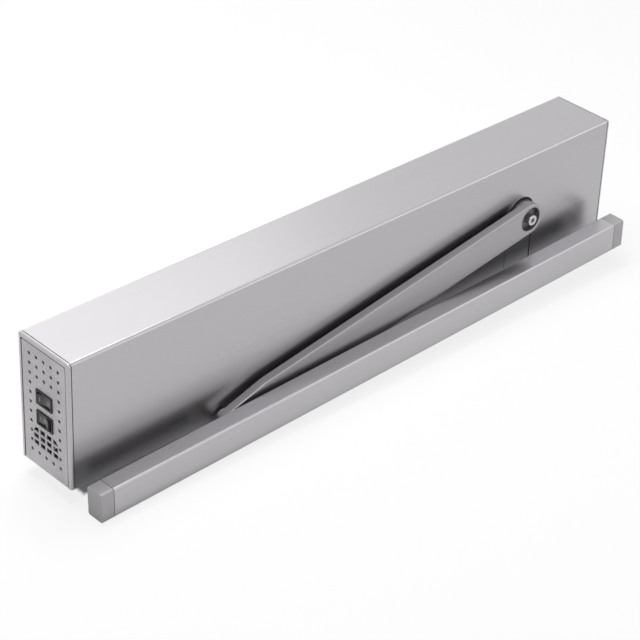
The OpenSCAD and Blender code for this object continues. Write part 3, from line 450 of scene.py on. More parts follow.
ROCKER_BLACK = Finish("rocker_black", shade("272527"), 0.0, 0.3, Grain.MOULDED, 0.15, 0.03, 0.0, 0.3)
MARK_GREY = Finish("rocker_mark", shade("A9A6A8"), 0.0, 0.5, Grain.MOULDED, 0.2, 0.03)
ZINC_SHEET = Finish("zinc_plated_sheet", shade("A9ACAF"), 0.85, 0.36, Grain.SPANGLE, 0.4, 0.08, 0.0003)
SCREW_ZINC = Finish("bright_zinc_screw", shade("C6C4C5"), 0.85, 0.28, Grain.TURNED_Y, 0.3, 0.03)
WASHER_STEEL = Finish("blued_washer", shade("6A6366"), 0.7, 0.36, Grain.TURNED_Y, 0.3, 0.06)
BLACK_STEEL = Finish("blackened_steel", shade("2B292B"), 0.6, 0.42, Grain.TURNED_Y, 0.3, 0.08, 0.0003)
GROUND_STEEL = Finish("ground_steel", shade("B4B4B5"), 0.9, 0.28, Grain.TURNED_Y, 0.3, 0.04, 0.0002)
CAST_GREY = Finish("cast_aluminium", shade("98999B"), 0.7, 0.5, Grain.CAST, 0.6, 0.06, 0.0008)
BRONZE = Finish("gear_bronze", shade("B9935A"), 0.9, 0.34, Grain.TURNED_Y, 0.3, 0.05, 0.0002)
SEAL_RUBBER = Finish("seal_rubber", shade("1E1C1D"), 0.0, 0.6, Grain.MOULDED, 0.5, 0.05)
SPRING_STEEL = Finish("spring_steel", shade("3B3C40"), 0.7, 0.36, Grain.MOULDED, 0.2, 0.06)
MOTOR_BLACK = Finish("motor_black", shade("2C2C2F"), 0.3, 0.4, Grain.POWDER, 0.3, 0.04, 0.0005)
SUPPLY_SHEET = Finish("supply_case_sheet", shade("B0B3B7"), 0.85, 0.34, Grain.SPANGLE, 0.3, 0.06, 0.0004)
BOARD_GREEN = Finish("solder_mask_green", shade("1F5A36"), 0.05, 0.3, Grain.SPANGLE, 0.3, 0.12)
TERMINAL_GREEN = Finish("terminal_green", shade("3C8A52"), 0.0, 0.4, Grain.MOULDED, 0.3, 0.04, 0.0002)
SLEEVE_BLUE = Finish("capacitor_sleeve", shade("27314F"), 0.0, 0.3, Grain.MOULDED, 0.2, 0.05, 0.0005)
RELAY_BLACK = Finish("relay_case", shade("29292B"), 0.0, 0.32, Grain.MOULDED, 0.25, 0.04, 0.0004)
COOLER_BLACK = Finish("cooler_black", shade("2A2B2E"), 0.6, 0.4, Grain.DRAWN_X, 0.4, 0.05, 0.0002)
NYLON = Finish("slide_nylon", shade("DAD6CB"), 0.0, 0.38, Grain.MOULDED, 0.3, 0.03, 0.0004)


@dataclass
class Assembly:
    """Nodes of the frame that belong together, listed by finish.

    Attributes:
        nodes: the frame's nodes by name.
    """

    FINISHES: ClassVar[dict[Finish, tuple[str, ...]]] = {}
    nodes: Nodes

    def build(self) -> None:
        """Gives the carried-over nodes their finishes."""
        for finish, names in self.FINISHES.items():
            for name in names:
                mesh = self.nodes[name].data
                mesh.materials.clear()
                mesh.materials.append(finish.make())
                log.info("dressed %s with %s", name, finish.name)


class Housing(Assembly):
    """Cover, end caps, filler piece and wall plate."""

    FINISHES = {
        ANODISED: ("cover",),
        ANODISED_FILLER: ("notch_filler",),
        CAP_SILVER: ("left_end_cap", "right_end_cap"),
        PLATE_SILVER: ("vent_plate",),
        ZINC_SHEET: ("wall_plate",),
    }


@dataclass
class SwitchFrame:
    """Moulded frame of a rocker switch, with its well, body and contact blades.

    Attributes:
        name: node's name of the switch.
        proud: height of the frame above the end plate.
        border: width of the frame's border.
        depth: depth of the well.
        overlap: overlap of the frame on the end plate.
        edge: radius of the frame's edges.
        corner: radius of the frame's outer corners.
        tight: smallest radius of a corner.
        play: gap between the body and its hole.
        blade: thickness, height and corner radius of a contact blade.
        blade_out: length of the blades behind the body.
        blade_in: length of the blades inside the body.
    """

    name: str
    proud: float = 1.2 * MM
    border: float = 2.2 * MM
    depth: float = 8.6 * MM
    overlap: float = 0.8 * MM
    edge: float = 0.5 * MM
    corner: float = 1.0 * MM
    tight: float = 0.35 * MM
    play: float = 0.1 * MM
    blade: Triple = (0.8 * MM, 4.8 * MM, 0.2 * MM)
    blade_out: float = 5.0 * MM
    blade_in: float = 0.2 * MM

    def __post_init__(self) -> None:
        """Takes the switch's place and size from the frame."""
        low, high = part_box(self.name)
        self.centre = (low + high) / 2
        self.width, self.height = high.y - low.y, high.z - low.z
        self.front, self.back = low.x, high.x

    def upright(self, loop: np.ndarray, x: float, y: float) -> np.ndarray:
        """Sets a flat loop upright at x, with its middle at y and at the switch's middle height."""
        return np.stack([np.full(len(loop), x), loop[:, 0] + y, loop[:, 1] + self.centre.z], axis=1)

    def ring(self, inset: float, x: float) -> np.ndarray:
        """Rounded rectangle at x, drawn in by an inset from the frame's outer edge."""
        radius = max(self.tight, self.corner - inset)
        loop = round_rectangle(self.width - 2 * inset, self.height - 2 * inset, radius)
        return self.upright(loop, x, self.centre.y)

    def build(self) -> None:
        """Builds the frame, well and body as one section carried round the switch, closed at the back."""
        front, plate = self.front, self.front + self.proud
        e, b = self.edge, self.border
        outer = fillet((0, plate), (0, front), (e, front))[1:]
        lip = fillet((b - e, front), (b, front), (b, front + e))
        section = np.vstack([[(0, plate)], outer, lip, [(b, front + self.depth)]])
        shell = Shell()
        rings = [self.ring(inset, x) for inset, x in section]
        shell.grid(np.stack(rings, axis=1), wrap_u=True)
        shell.lid(rings[-1])
        body_end = self.back - self.blade_out
        body = [self.ring(self.overlap + self.play, x) for x in (plate, body_end)]
        shell.grid(np.stack([rings[0], *body], axis=1), wrap_u=True)
        shell.lid(body[1])
        blade = round_rectangle(*self.blade, 3)
        for share in (-1, 0, 1):
            y = self.centre.y + share * (self.width - 2 * self.overlap) / 3
            ends = [self.upright(blade, x, y) for x in (body_end - self.blade_in, self.back)]
            shell.grid(np.stack(ends, axis=1), wrap_u=True)
            shell.lid(*ends)
        piece = shell.build(f"{self.name}_moulding", SWITCH_BLACK)
        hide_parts(self.name)
        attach(piece, "operator")


@dataclass
class Rocker:
    """Rocker of a switch, with its printed marks.

    Attributes:
        name: node's and body's name of the rocker.
        hinge: a point on the rocker's hinge.
        marks: strokes on the rocker from left to right, 0 for a ring.
        turn: angle in radians at which the rocker rests.
        pin: length of the pivot pin at each end.
        reach: distance from the hinge to the rocker's two ends.
        front: distance from the hinge to the face at those ends.
        valley: depth of the face's middle below its ends.
        bend: power by which the valley rises.
        back: how far the back lies behind the hinge at the ends and in the middle.
        keel: half the length over which the back is flat in the middle.
        edge: radius of the rocker's edges.
        stroke: thickness, height and corner radius of a stroke.
        pitch: spacing of the strokes in one mark.
        ring: inner and outer radius of a ring.
        squeeze: width of a ring over its height.
        outer_mark: share of the reach at which the outer marks stand.
        lift: height of a mark's front and of its back over the face.
    """

    name: str
    hinge: Vector
    marks: tuple[int, ...]
    turn: float
    pin: float = 1.0 * MM
    reach: float = 8.3 * MM
    front: float = 5.2 * MM
    valley: float = 1.5 * MM
    bend: float = 1.6
    back: tuple[float, float] = (0.8 * MM, 1.8 * MM)
    keel: float = 3.0 * MM
    edge: float = 0.45 * MM
    stroke: Triple = (0.75 * MM, 4.0 * MM, 0.3 * MM)
    pitch: float = 1.7 * MM
    ring: tuple[float, float] = (1.25 * MM, 2.0 * MM)
    squeeze: float = 0.8
    outer_mark: float = 0.62
    lift: tuple[float, float] = (0.05 * MM, -0.15 * MM)

    def __post_init__(self) -> None:
        """Takes the pivot's middle and the rocker's height from the frame."""
        low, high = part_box(self.name)
        self.pivot = Vector((self.hinge.x, self.hinge.y, (low.z + high.z) / 2))
        self.half = (high.z - low.z) / 2 - self.pin

    def placed(self, x: np.ndarray, y: np.ndarray, z: np.ndarray) -> np.ndarray:
        """Turns points given from the pivot by the rest angle: (x cos t - y sin t, x sin t + y cos t, z)."""
        c, s = math.cos(self.turn), math.sin(self.turn)
        turned = (x * c - y * s, x * s + y * c, z)
        return np.stack([start + way for start, way in zip(self.pivot, turned)], axis=-1)

    def face(self, y: np.ndarray) -> np.ndarray:
        """Depth of the rocker's front behind the pivot: -(a + b * |y| ^ p), a valley between raised ends."""
        rise = self.valley * (np.abs(y) / self.reach) ** self.bend
        return -(self.front - self.valley + rise)

    def moulding(self) -> None:
        """Builds the rocker: a closed outline carried over its height, with rounded edges."""
        y = np.linspace(self.reach, -self.reach, 33)
        front = np.stack([self.face(y), y], axis=1)
        ends, middle = self.back
        back = np.array([(ends, -self.reach), (middle, -self.keel), (middle, self.keel), (ends, self.reach)])
        loop = np.vstack([front, back])
        normal = outward(loop)
        e = self.edge
        levels = fillet((e, self.half), (0, self.half), (0, self.half - e), 4)
        levels = np.vstack([levels, levels[::-1] * (1, -1)])
        rings = []
        for inset, z in levels:
            flat = loop - normal * inset
            rings.append(self.placed(flat[:, 0], flat[:, 1], np.full(len(flat), z)))
        shell = Shell()
        shell.grid(np.stack(rings, axis=1), wrap_u=True)
        shell.lid(rings[0], rings[-1])
        piece = shell.build(f"{self.name}_moulding", ROCKER_BLACK)
        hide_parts(self.name)
        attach(piece, self.name)

    def printed(self) -> None:
        """Builds the printed marks: upright strokes, and a ring where the number is 0."""
        shell = Shell()
        (first, last), (inner, outer) = self.lift, self.ring
        middles = np.linspace(self.outer_mark, -self.outer_mark, len(self.marks)) * self.reach
        for middle, strokes in zip(middles, self.marks):
            if strokes == 0:
                angle = np.linspace(0, 2 * math.pi, 33)[:-1, None]
                radius = np.array([[inner, outer, outer, inner]])
                y = middle + radius * self.squeeze * np.cos(angle)
                lift = np.array([[first, first, last, last]])
                grid = self.placed(self.face(y) - lift, y, radius * np.sin(angle))
                shell.grid(grid, wrap_u=True, wrap_v=True)
                continue
            for offset in (np.arange(strokes) - (strokes - 1) / 2) * self.pitch:
                loop = round_rectangle(*self.stroke, 3)
                y = middle + offset + loop[:, :1] * np.ones((1, 2))
                grid = self.placed(self.face(y) - np.array([self.lift]), y, loop[:, 1:] * np.ones((1, 2)))
                shell.grid(grid, wrap_u=True)
                shell.lid(grid[:, 0], grid[:, 1])
        piece = shell.build(f"{self.name}_marks", MARK_GREY)
        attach(piece, self.name)

    def build(self) -> None:
        """Builds the rocker and its marks."""
        self.moulding()
        self.printed()


@dataclass
class HubScrew:
    """Cap screw with a hexagon socket in the arm's hub, and the dark washer under its head.

    Attributes:
        axle: a point on the axle.
        seat: depth of the surface that the washer lies on.
        head_r: radius of the head.
        shank_r: radius of the shank.
        chamfer: radius of the head's edge.
        socket_r: radius of the socket, to its corners.
        socket_depth: depth of the socket's flats.
        mouth: radius of the socket's mouth over its own, and the mouth's depth.
        drill: radius of the end of the socket's cone over its own, and the cone's depth.
        washer_r: outer radius of the washer.
        hole_r: radius of the washer's hole.
        thick: thickness of the washer.
        washer_edge: radius of the washer's edge.
        sides: points around.
    """

    axle: Vector
    seat: float
    head_r: float = 5.5 * MM
    shank_r: float = 2.9 * MM
    chamfer: float = 0.7 * MM
    socket_r: float = 2.75 * MM
    socket_depth: float = 4.0 * MM
    mouth: tuple[float, float] = (1.12, 0.35 * MM)
    drill: tuple[float, float] = (0.02, 1.0 * MM)
    washer_r: float = 11.6 * MM
    hole_r: float = 3.1 * MM
    thick: float = 2.0 * MM
    washer_edge: float = 0.35 * MM
    sides: int = 72

    def bolt(self) -> None:
        """Builds the screw: shank and head turned about the axle, the socket's radius R cos 30 / cos w."""
        low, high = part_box("arm_screw")
        head, top, c = low.y, self.seat - self.thick, self.chamfer
        shell = Shell()
        section = np.vstack([
            [(high.y, 0.0), (high.y, self.shank_r), (top, self.shank_r), (top, self.head_r)],
            fillet((head + c, self.head_r), (head, self.head_r), (head, self.head_r - c)),
        ])
        shell.grid(revolved(section, self.axle, self.sides), wrap_u=True)
        angle = np.linspace(0, 2 * math.pi, self.sides, endpoint=False)
        wedge = (angle + math.pi / 6) % (math.pi / 3) - math.pi / 6
        hexagon = self.socket_r * math.cos(math.pi / 6) / np.cos(wedge)
        bottom, (wide, mouth), (small, cone) = head + self.socket_depth, self.mouth, self.drill
        rings = []
        for r, y in ((self.head_r - c, head), (self.socket_r * wide, head), (hexagon, head + mouth),
                     (hexagon, bottom), (hexagon * small, bottom + cone)):
            x, z = self.axle.x + r * np.cos(angle), self.axle.z + r * np.sin(angle)
            rings.append(np.stack([x, np.full(self.sides, y), z], axis=1))
        shell.grid(np.stack(rings, axis=1), wrap_u=True)
        bolt = shell.build("arm_cap_screw", SCREW_ZINC, sharp=28.0)
        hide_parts("arm_screw")
        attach(bolt, "arm")

    def washer(self) -> None:
        """Builds the washer: a flat ring turned about the axle, its outer front edge rounded."""
        top, r, e = self.seat - self.thick, self.washer_r, self.washer_edge
        profile = np.vstack([
            [(self.seat, self.hole_r), (self.seat, r)],
            fillet((top + e, r), (top, r), (top, r - e), 3),
            [(top, self.hole_r), (self.seat, self.hole_r)],
        ])
        shell = Shell()
        shell.grid(revolved(profile, self.axle, self.sides), wrap_u=True)
        washer = shell.build("arm_washer", WASHER_STEEL)
        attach(washer, "arm")

    def build(self) -> None:
        """Builds the screw and the washer."""
        self.bolt()
        self.washer()


@dataclass
class ArmLever(Assembly):
    """Flat arm with a round hub, a parallel blade and a tapered tip, and what it turns and carries.

    Attributes:
        axle: a point on the axle.
        pin: a point on the slide pin.
        width: width of the blade.
        tip_width: width of the round tip.
        taper: length of the tapered end.
        recess_d: diameter of the recess in the hub.
        recess_depth: depth of the recess.
        boss: height of the boss behind the hub.
        boss_d: diameter of the boss.
        hole_d: diameter of the hole round the axle's end.
        bore_d: diameter of the hole for the slide pin.
        edge: radius of the outer edges.
        chamfer: bevel of the recess's mouth.
        recess_round: bevel round the recess's floor.
        ends: share of the width at which the lines of the faces leave the hub and reach the tip.
        lines: shares of the way across a face at which it has points.
        flank: points along the hub, the blade and the two parts of the taper.
    """

    FINISHES = {
        BLACK_STEEL: ("drive_axle",),
        GROUND_STEEL: ("slide_pin",),
        NYLON: ("slide_block",),
        ARM_SILVER: ("arm_lever",),
        SCREW_ZINC: ("arm_screw",),
    }
    axle: Vector
    pin: Vector
    width: float = 33 * MM
    tip_width: float = 19.6 * MM
    taper: float = 46 * MM
    recess_d: float = 25.6 * MM
    recess_depth: float = 6.4 * MM
    boss: float = 6.2 * MM
    boss_d: float = 32 * MM
    hole_d: float = 16.2 * MM
    bore_d: float = 10.08 * MM
    edge: float = 0.9 * MM
    chamfer: float = 0.4 * MM
    recess_round: float = 0.6 * MM
    ends: float = 0.8
    lines: tuple[float, ...] = (0.0, 0.3, 0.65, 1.0)
    flank: tuple[int, ...] = (25, 40, 8, 16)

    def __post_init__(self) -> None:
        """Works out the arm's length, slope and faces from the frame."""
        run = Vector((self.pin.x - self.axle.x, 0, self.pin.z - self.axle.z))
        self.length = run.length
        self.along = run.normalized()
        self.across = Vector((-self.along.z, 0, self.along.x))
        low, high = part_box("arm_lever")
        self.front, self.back = low.y, high.y - self.boss
        self.near, self.far = self.ends * self.width, self.length - self.ends * self.tip_width

    def placed(self, flat: np.ndarray, y: float | np.ndarray) -> np.ndarray:
        """Puts points (s, t) of the arm's plane at depth y: axle + s * along + t * across."""
        s, t = flat[..., 0], flat[..., 1]
        x = self.axle.x + s * self.along.x + t * self.across.x
        z = self.axle.z + s * self.along.z + t * self.across.z
        return np.stack([x, np.broadcast_to(y, x.shape), z], axis=-1)

    def outline(self) -> np.ndarray:
        """Outline, counter-clockwise in (s, t), from the upper side of the hub round to where it starts.

        Half circle (r cos a, r sin a), flank t = -r, a straight taper that touches the tip's circle, the
        tip's arc, and the same back with t turned over.

        Returns:
            Array of shape (n, 2).
        """
        half, tip, shoulder = self.width / 2, self.tip_width / 2, self.length - self.taper
        lean = math.atan2(half, self.taper) + math.acos(tip / math.hypot(self.taper, half))
        touch = (self.length - tip * math.cos(lean), tip * math.sin(lean))
        hub = np.linspace(math.pi / 2, 3 * math.pi / 2, 65)[1:-1]
        stops = (0.0, self.near, shoulder, self.far, touch[0])
        stretches = (np.linspace(*ends)[1:] for ends in zip(stops, stops[1:], self.flank))
        s = np.concatenate([[0.0], *stretches])
        t = np.interp(s, [0, shoulder, touch[0]], [half, half, touch[1]])
        lower = np.stack([s, -t], axis=1)
        end = np.linspace(lean - math.pi, math.pi - lean, 33)[1:-1]
        upper = (lower * (1, -1))[::-1]
        return np.roll(np.vstack([
            np.stack([half * np.cos(hub), half * np.sin(hub)], axis=1),
            lower,
            np.stack([self.length + tip * np.cos(end), tip * np.sin(end)], axis=1),
            upper,
        ]), self.flank[0], axis=0)

    def turns(self, loop: np.ndarray) -> tuple[np.ndarray, np.ndarray, np.ndarray]:
        """Angle that each point of the outline faces at the hub's or at the pin's hole.

        Returns:
            The signed angles, and which points belong to the hub and which to the tip. Along the flank the
            angle runs on with s, from 90 degrees down to 0 at the hub and from 180 down to 90 at the tip.
        """
        s, t = loop[:, 0], loop[:, 1]
        past, quarter = s - self.length, math.pi / 2
        by_hub = np.where(s <= 0, np.arctan2(np.abs(t), s), quarter * (1 - s / self.near))
        flank = quarter * (1 - past / (self.length - self.far))
        by_tip = np.where(past >= 0, np.arctan2(np.abs(t), past), flank)
        hub, tip = s <= self.near + 1e-9, s >= self.far - 1e-9
        return np.sign(t + 1e-12) * np.where(hub, by_hub, by_tip), hub, tip

    def inner(self, loop: np.ndarray, hub_r: float) -> np.ndarray:
        """Inner end of each line across a face, on the hub's hole, the blade's middle or the pin's hole."""
        turn, hub, tip = self.turns(loop)
        bore = self.bore_d / 2
        round_hub = hub_r * np.stack([np.cos(turn), np.sin(turn)], axis=1)
        round_tip = bore * np.stack([np.cos(turn), np.sin(turn)], axis=1) + (self.length, 0)
        share = np.clip((loop[:, 0] - self.near) / (self.far - self.near), 0, 1)
        line = np.stack([hub_r + share * (self.length - bore - hub_r), np.zeros(len(loop))], axis=1)
        return np.where(hub[:, None], round_hub, np.where(tip[:, None], round_tip, line))

    def face(self, loop: np.ndarray, hub_r: float, y: float) -> list[np.ndarray]:
        """Rings of a face at depth y, from a loop in to the holes: outer * (1 - v) + inner * v."""
        inner = self.inner(self.loop, hub_r)
        return [self.placed(loop * (1 - v) + inner * v, y) for v in self.lines]

    def sleeve(self, section: np.ndarray, turn: np.ndarray, start: float) -> np.ndarray:
        """Round wall: (start + r cos a, r sin a) at depth y for each angle and each (y, r) of a section."""
        y, r = section[:, 0][None, :], section[:, 1][None, :]
        flat = np.stack([start + r * np.cos(turn)[:, None], r * np.sin(turn)[:, None]], axis=-1)
        return self.placed(flat, y)

    def lever(self) -> None:
        """Builds the arm: front face, side wall with rounded edges, back face, hub recess, bore and boss,
        with painted shade on the recess and the bore.
        """
        shell = Shell()
        loop = self.loop = self.outline()
        normal = outward(loop)
        e = self.edge
        first = fillet((e, self.front), (0, self.front), (0, self.front + e))
        second = fillet((0, self.back - e), (0, self.back), (e, self.back))
        rings = [self.placed(loop - normal * inset, y) for inset, y in np.vstack([first, second])]
        recess, boss_r, rise = self.recess_d / 2, self.boss_d / 2, self.back + self.boss
        chamfer, bevel = self.chamfer, self.recess_round
        fronts = self.face(loop - normal * e, recess + chamfer, self.front)
        backs = self.face(loop - normal * e, boss_r, self.back)
        shell.grid(np.stack([*fronts[::-1], *rings[1:-1], *backs], axis=1), wrap_u=True)
        turn, hub, tip = self.turns(loop)
        floor, hole = self.front + self.recess_depth, self.hole_d / 2
        lip = np.array([(self.front, recess + chamfer), (self.front + chamfer, recess)])
        hollow = np.array([(self.front + chamfer, recess), (floor - bevel, recess),
                           (floor, recess - bevel), (floor, hole), (rise, hole)])
        boss = np.vstack([[(rise, hole)], fillet((rise, boss_r - e), (rise, boss_r), (rise - e, boss_r)),
                          [(self.back, boss_r)]])
        shell.grid(self.sleeve(lip, turn[hub], 0.0))
        # coat 1: painted shade on the recess's wall, its floor and the hole behind it
        shell.grid(self.sleeve(hollow, turn[hub], 0.0), coat=1)
        shell.grid(self.sleeve(boss, turn[hub], 0.0))
        bore = np.array([(self.front, self.bore_d / 2), (self.back, self.bore_d / 2)])
        # coat 1: painted shade inside the pin's bore
        shell.grid(self.sleeve(bore, turn[tip], self.length), coat=1)
        piece = shell.build("arm_lever_forged", ARM_SILVER, HUB_RECESS_PAINTED_SHADE)
        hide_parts("arm_lever")
        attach(piece, "arm")

    def build(self) -> None:
        """Builds the arm and its screw and dresses what it turns and carries."""
        self.lever()
        HubScrew(self.axle, self.front + self.recess_depth).build()
        super().build()


class SlideRail(Assembly):
    """Channel rail with its caps and end blocks."""

    FINISHES = {
        RAIL_SILVER: ("slide_rail",),
        RAIL_CAP_GREY: ("left_rail_cap", "right_rail_cap"),
        CAST_GREY: ("rail_blocks",),
    }


@dataclass
class Drive(Assembly):
    """Gear train, closer spring, motor and their frame.

    Attributes:
        travel: how far the rack can be drawn; not used.
        wire: diameter of the spring's wire.
        turns: turns of the spring.
        around: rings in each turn.
        sides: points in each ring.
    """

    FINISHES = {
        CAST_GREY: ("gear_frame",),
        SCREW_ZINC: ("frame_screws",),
        GROUND_STEEL: ("front_bearing", "rear_bearing", "rack_pinion", "spring_rack",
                       "spring_rod", "inter_shaft", "motor_pinion"),
        SEAL_RUBBER: ("axle_seal",),
        BRONZE: ("axle_gear", "rack_guide", "inter_gear"),
        SPRING_STEEL: ("closer_spring",),
        ZINC_SHEET: ("spring_bracket", "motor_bracket"),
        MOTOR_BLACK: ("drive_motor",),
        RELAY_BLACK: ("motor_encoder",),
    }
    travel: float
    wire: float = 3.6 * MM
    turns: int = 13
    around: int = 32
    sides: int = 12

    def spring(self) -> None:
        """Builds the coil: centre (x0 + p a, R cos a, R sin a), with a circle square to it as the wire."""
        low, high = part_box("closer_spring")
        middle, r = (low + high) / 2, self.wire / 2
        mean = (high.z - low.z) / 2 - r
        angle = np.linspace(0, 2 * math.pi * self.turns, self.turns * self.around + 1)
        start, run = low.x + r, high.x - low.x - self.wire
        x = start + run * angle / angle[-1]
        centre = np.stack([x, middle.y + mean * np.cos(angle), middle.z + mean * np.sin(angle)], axis=1)
        radial = np.stack([np.zeros(len(angle)), np.cos(angle), np.sin(angle)], axis=1)
        tangent = np.gradient(centre, axis=0)
        tangent /= np.linalg.norm(tangent, axis=1, keepdims=True)
        third = np.cross(tangent, radial)
        turn = np.linspace(0, 2 * math.pi, self.sides, endpoint=False)[None, :, None]
        tube = centre[:, None] + r * (np.cos(turn) * radial[:, None] + np.sin(turn) * third[:, None])
        shell = Shell()
        shell.grid(tube, wrap_v=True)
        shell.lid(tube[0], tube[-1])
        piece = shell.build("closer_spring_coil", SPRING_STEEL, sharp=60.0)
        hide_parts("closer_spring")
        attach(piece, "operator")
        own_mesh(piece)

    def build(self) -> None:
        """Builds the spring and dresses the drive's nodes."""
        self.spring()
        super().build()


class Electronics(Assembly):
    """Power supply, control board and the switches' nodes."""

    FINISHES = {
        SUPPLY_SHEET: ("power_supply",),
        BOARD_GREEN: ("control_board",),
        BRONZE: ("board_standoffs",),
        TERMINAL_GREEN: ("terminal_blocks",),
        SLEEVE_BLUE: ("board_capacitors",),
        RELAY_BLACK: ("board_relays",),
        COOLER_BLACK: ("board_heat_sink",),
        SWITCH_BLACK: ("power_switch", "program_switch"),
        ROCKER_BLACK: ("power_rocker", "program_rocker"),
    }


@dataclass(frozen=True)
class SoftBox:
    """Rectangular studio lamp.

    Attributes:
        name: name of the lamp.
        place: where it hangs.
        power: its power in watts.
        size: its two sides.
        aim: point that it faces.
    """

    name: str
    place: Triple
    power: float
    size: tuple[float, float] = (0.9, 0.6)
    aim: Triple = (0.0, 0.0, 0.0)

    def hang(self) -> None:
        """Adds the lamp to the scene."""
        lamp = bpy.data.lights.new(self.name, "AREA")
        lamp.shape = "RECTANGLE"
        lamp.size, lamp.size_y = self.size
        lamp.energy = self.power
        holder = bpy.data.objects.new(self.name, lamp)
        holder.location = self.place
        aim = Vector(self.aim) - Vector(self.place)
        holder.rotation_euler = aim.to_track_quat("-Z", "Y").to_euler()
        bpy.context.scene.collection.objects.link(holder)


@dataclass(frozen=True)
class Viewpoint:
    """Camera at the photograph's viewing angle.

    Attributes:
        place: where the camera stands.
        heading: angle of its line of sight from +y towards +x, in degrees.
        fall: angle of its line of sight below the horizon, in degrees.
        roll: turn about its line of sight, in degrees.
        focal: focal length in pixels.
        pixels: width of the picture for which that holds.
        sensor: width of the sensor in millimetres.
        clip: nearest and farthest distance that is drawn.
    """

    place: Triple = (-1.27364, -1.28508, 1.19077)
    heading: float = 44.315
    fall: float = 33.031
    roll: float = 2.483
    focal: float = 2260.85
    pixels: int = 640
    sensor: float = 36.0
    clip: tuple[float, float] = (0.05, 60.0)

    def set_up(self) -> None:
        """Adds the camera and makes it the scene's."""
        h, f, r = (math.radians(a) for a in (self.heading, self.fall, self.roll))
        sight = Vector((math.sin(h) * math.cos(f), math.cos(h) * math.cos(f), -math.sin(f)))
        level = Vector((math.cos(h), -math.sin(h), 0))
        upright = level.cross(sight)
        right = level * math.cos(r) + upright * math.sin(r)
        up = right.cross(sight)
        axes = Matrix((right, up, -sight)).transposed().to_4x4()
        data = bpy.data.cameras.new("viewpoint")
        data.sensor_width = self.sensor
        data.lens = self.focal / self.pixels * self.sensor
        data.clip_start, data.clip_end = self.clip
        camera = bpy.data.objects.new("viewpoint", data)
        camera.matrix_world = Matrix.Translation(self.place) @ axes
        bpy.context.scene.collection.objects.link(camera)
        bpy.context.scene.camera = camera


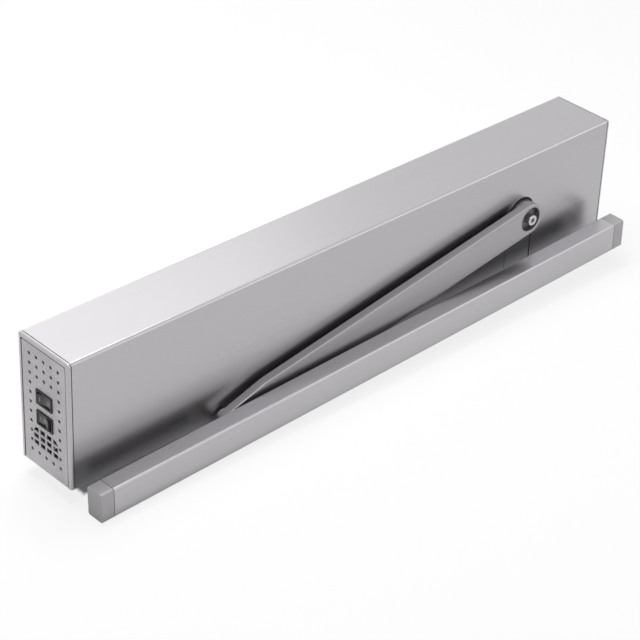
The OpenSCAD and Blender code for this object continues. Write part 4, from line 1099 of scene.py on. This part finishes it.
@dataclass
class Studio:
    """White surroundings, pale floor and soft lamps.

    Attributes:
        floor_z: height of the floor.
        under: lowest and highest x and y of what stands over the floor.
        housing: lowest and highest x and y of the housing, whose foot is clear of the floor.
        ambient: strength of the white surroundings on diffuse surfaces.
        rings: radii of the floor's rings.
        sides: points in each ring.
        floor_white: share of the floor near the object that is seen as plain white.
        white_reach: distances from the object between which that share rises to all of it.
        shade_under: what a mirror sees of the white under the object, a painted shade.
        shade_reach: distances from the object's outline, inwards and outwards, between which that painted
            shade fades and the share rises to 1.
        strip: distances of the floor seen past the rail, from the housing's front foot to its near and
            far side, and from the housing's ends to its own.
        strip_rim: width round that strip over which the floor turns white again.
    """

    LAMPS: ClassVar[tuple[SoftBox, ...]] = (
        SoftBox("top_box", (0.0, 0.44, 1.64), 20.0),
        SoftBox("left_box", (-0.44, 0.0, 1.64), 9.0),
        SoftBox("back_box", (0.28, 1.57, 0.58), 2.6),
        SoftBox("edge_box", (1.15, -0.9, 0.85), 1.6, (1.1, 0.5)),
        SoftBox("front_box", (0.55, -1.5, 0.58), 1.0),
        SoftBox("corner_box", (0.55, 1.13, 1.05), 0.8, (0.7, 0.5), (-0.3, 0.0, 0.1)),
    )
    floor_z: float
    under: Area
    housing: Area
    ambient: float = 0.2
    rings: tuple[float, ...] = (0.0, 0.5, 1.5, 4.0, 12.0)
    sides: int = 96
    floor_white: float = 0.82
    white_reach: tuple[float, float] = (0.3, 1.3)
    shade_under: float = 0.17
    shade_reach: tuple[float, float] = (-0.01, 0.072)
    strip: Triple = (0.010, 0.022, 0.018)
    strip_rim: float = 0.006

    def away(self, graph: Graph, area: Area) -> Socket:
        """Distance of a point of the floor from a rectangle: max(|x - cx| - hx, |y - cy| - hy)."""
        place = graph.add("SeparateXYZ", {"Vector": graph.add("TexCoord").outputs["Object"]}).outputs
        sides = []
        for axis, low, high in zip("XY", *area):
            offset = graph.maths("SUBTRACT", place[axis], (low + high) / 2)
            sides.append(graph.maths("SUBTRACT", graph.maths("ABSOLUTE", offset), (high - low) / 2))
        return graph.maths("MAXIMUM", *sides)

    def surroundings(self) -> None:
        """White world: strength 1 where it is seen, the ambient strength elsewhere."""
        world = bpy.data.worlds.new("studio_white")
        bpy.context.scene.world = world
        world.use_nodes = True
        graph = Graph(world.node_tree)
        back = graph.tree.nodes["Background"]
        back.inputs["Color"].default_value = (1, 1, 1, 1)
        path = graph.add("LightPath").outputs
        looked = graph.maths("MAXIMUM", path["Is Camera Ray"], path["Is Transmission Ray"])
        seen = graph.maths("MAXIMUM", looked, path["Is Glossy Ray"])
        strength = graph.span(seen, 0.0, 1.0, self.ambient, 1.0, "LINEAR")
        graph.tree.links.new(strength, back.inputs["Strength"])

    def floor(self) -> None:
        """Round floor: rings of radius r at one height, pale.

        A camera and a glass look through most of it, to the white behind, so that only a trace of its
        shading and the object's shadow stays. In a strip under the housing's front, which shows past the
        rail, they see its own shade. A mirror sees it plain white, except under and round the object, where
        a painted shade mask dims that white, so the metal faces reflect painted shade there.
        """
        radius = np.array(self.rings)[None, :]
        angle = np.linspace(0, 2 * math.pi, self.sides, endpoint=False)[:, None]
        x, y = radius * np.cos(angle), radius * np.sin(angle)
        shell = Shell()
        shell.grid(np.stack([x, y, np.full(x.shape, self.floor_z)], axis=-1), wrap_u=True)
        ground = shell.build("studio_floor", PALE_FLOOR)
        graph = Graph(ground.data.materials[0].node_tree)
        away = self.away(graph, self.under)
        white = graph.span(away, *self.white_reach, self.floor_white, 1.0)
        # Painted shade: a mask by distance from the object's outline dims the white glow that mirrors see
        # under and round the object.
        mirror_painted_shade = graph.span(away, *self.shade_reach, self.shade_under, 1.0)
        ((left, front), (right, _)), (near, far, end) = self.housing, self.strip
        strip = self.away(graph, ((left + end, front + near), (right - end, front + far)))
        bright = graph.span(strip, 0.0, self.strip_rim, 0.0, 1.0)
        path = graph.add("LightPath").outputs
        mirrored = graph.maths("MULTIPLY", graph.maths("MULTIPLY", path["Is Glossy Ray"], mirror_painted_shade), white)
        looked = graph.maths("MAXIMUM", path["Is Camera Ray"], path["Is Transmission Ray"])
        seen = graph.maths("MULTIPLY", graph.maths("MULTIPLY", looked, white), bright)
        clear = graph.maths("MAXIMUM", seen, path["Is Shadow Ray"])
        shader = graph.tree.nodes["Principled BSDF"].outputs["BSDF"]
        for kind, share in (("Emission", mirrored), ("BsdfTransparent", clear)):
            layer = graph.add(kind).outputs[0]
            shader = graph.add("MixShader", {"Fac": share, 1: shader, 2: layer}).outputs["Shader"]
        graph.tree.links.new(shader, graph.tree.nodes["Material Output"].inputs["Surface"])
        ground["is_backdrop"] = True

    def build(self) -> None:
        """Sets the studio up."""
        self.surroundings()
        self.floor()
        for lamp in self.LAMPS:
            lamp.hang()
        bpy.context.scene.view_settings.view_transform = "Standard"


def main() -> None:
    """Builds the operator's looks and the studio."""
    logging.basicConfig(level=logging.INFO, format="%(message)s")
    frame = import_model()
    box_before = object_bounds()
    nodes = frame["nodes"]
    joints = {joint["name"]: joint for joint in frame["joints"]}
    axes = {name: Vector(joint["pos_m"]) for name, joint in joints.items() if "pos_m" in joint}
    Housing(nodes).build()
    ArmLever(nodes, axes["arm_swing"], axes["block_pivot"]).build()
    SlideRail(nodes).build()
    Drive(nodes, -joints["rack_slide"]["range_m"][0]).build()
    Electronics(nodes).build()
    for switch, rocker, marks, degrees in (("power_switch", "power_rocker", (1, 0), 8),
                                           ("program_switch", "program_rocker", (1, 0, 2), -8)):
        SwitchFrame(switch).build()
        Rocker(rocker, axes[f"{rocker}_tilt"], marks, math.radians(degrees)).build()
    Viewpoint().set_up()
    low, high = box_before
    housing = tuple(tuple(p[:2]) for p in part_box("cover"))
    Studio(low[2] - FLOOR_GAP, (tuple(low[:2]), tuple(high[:2])), housing).build()


if __name__ == "__main__":
    main()
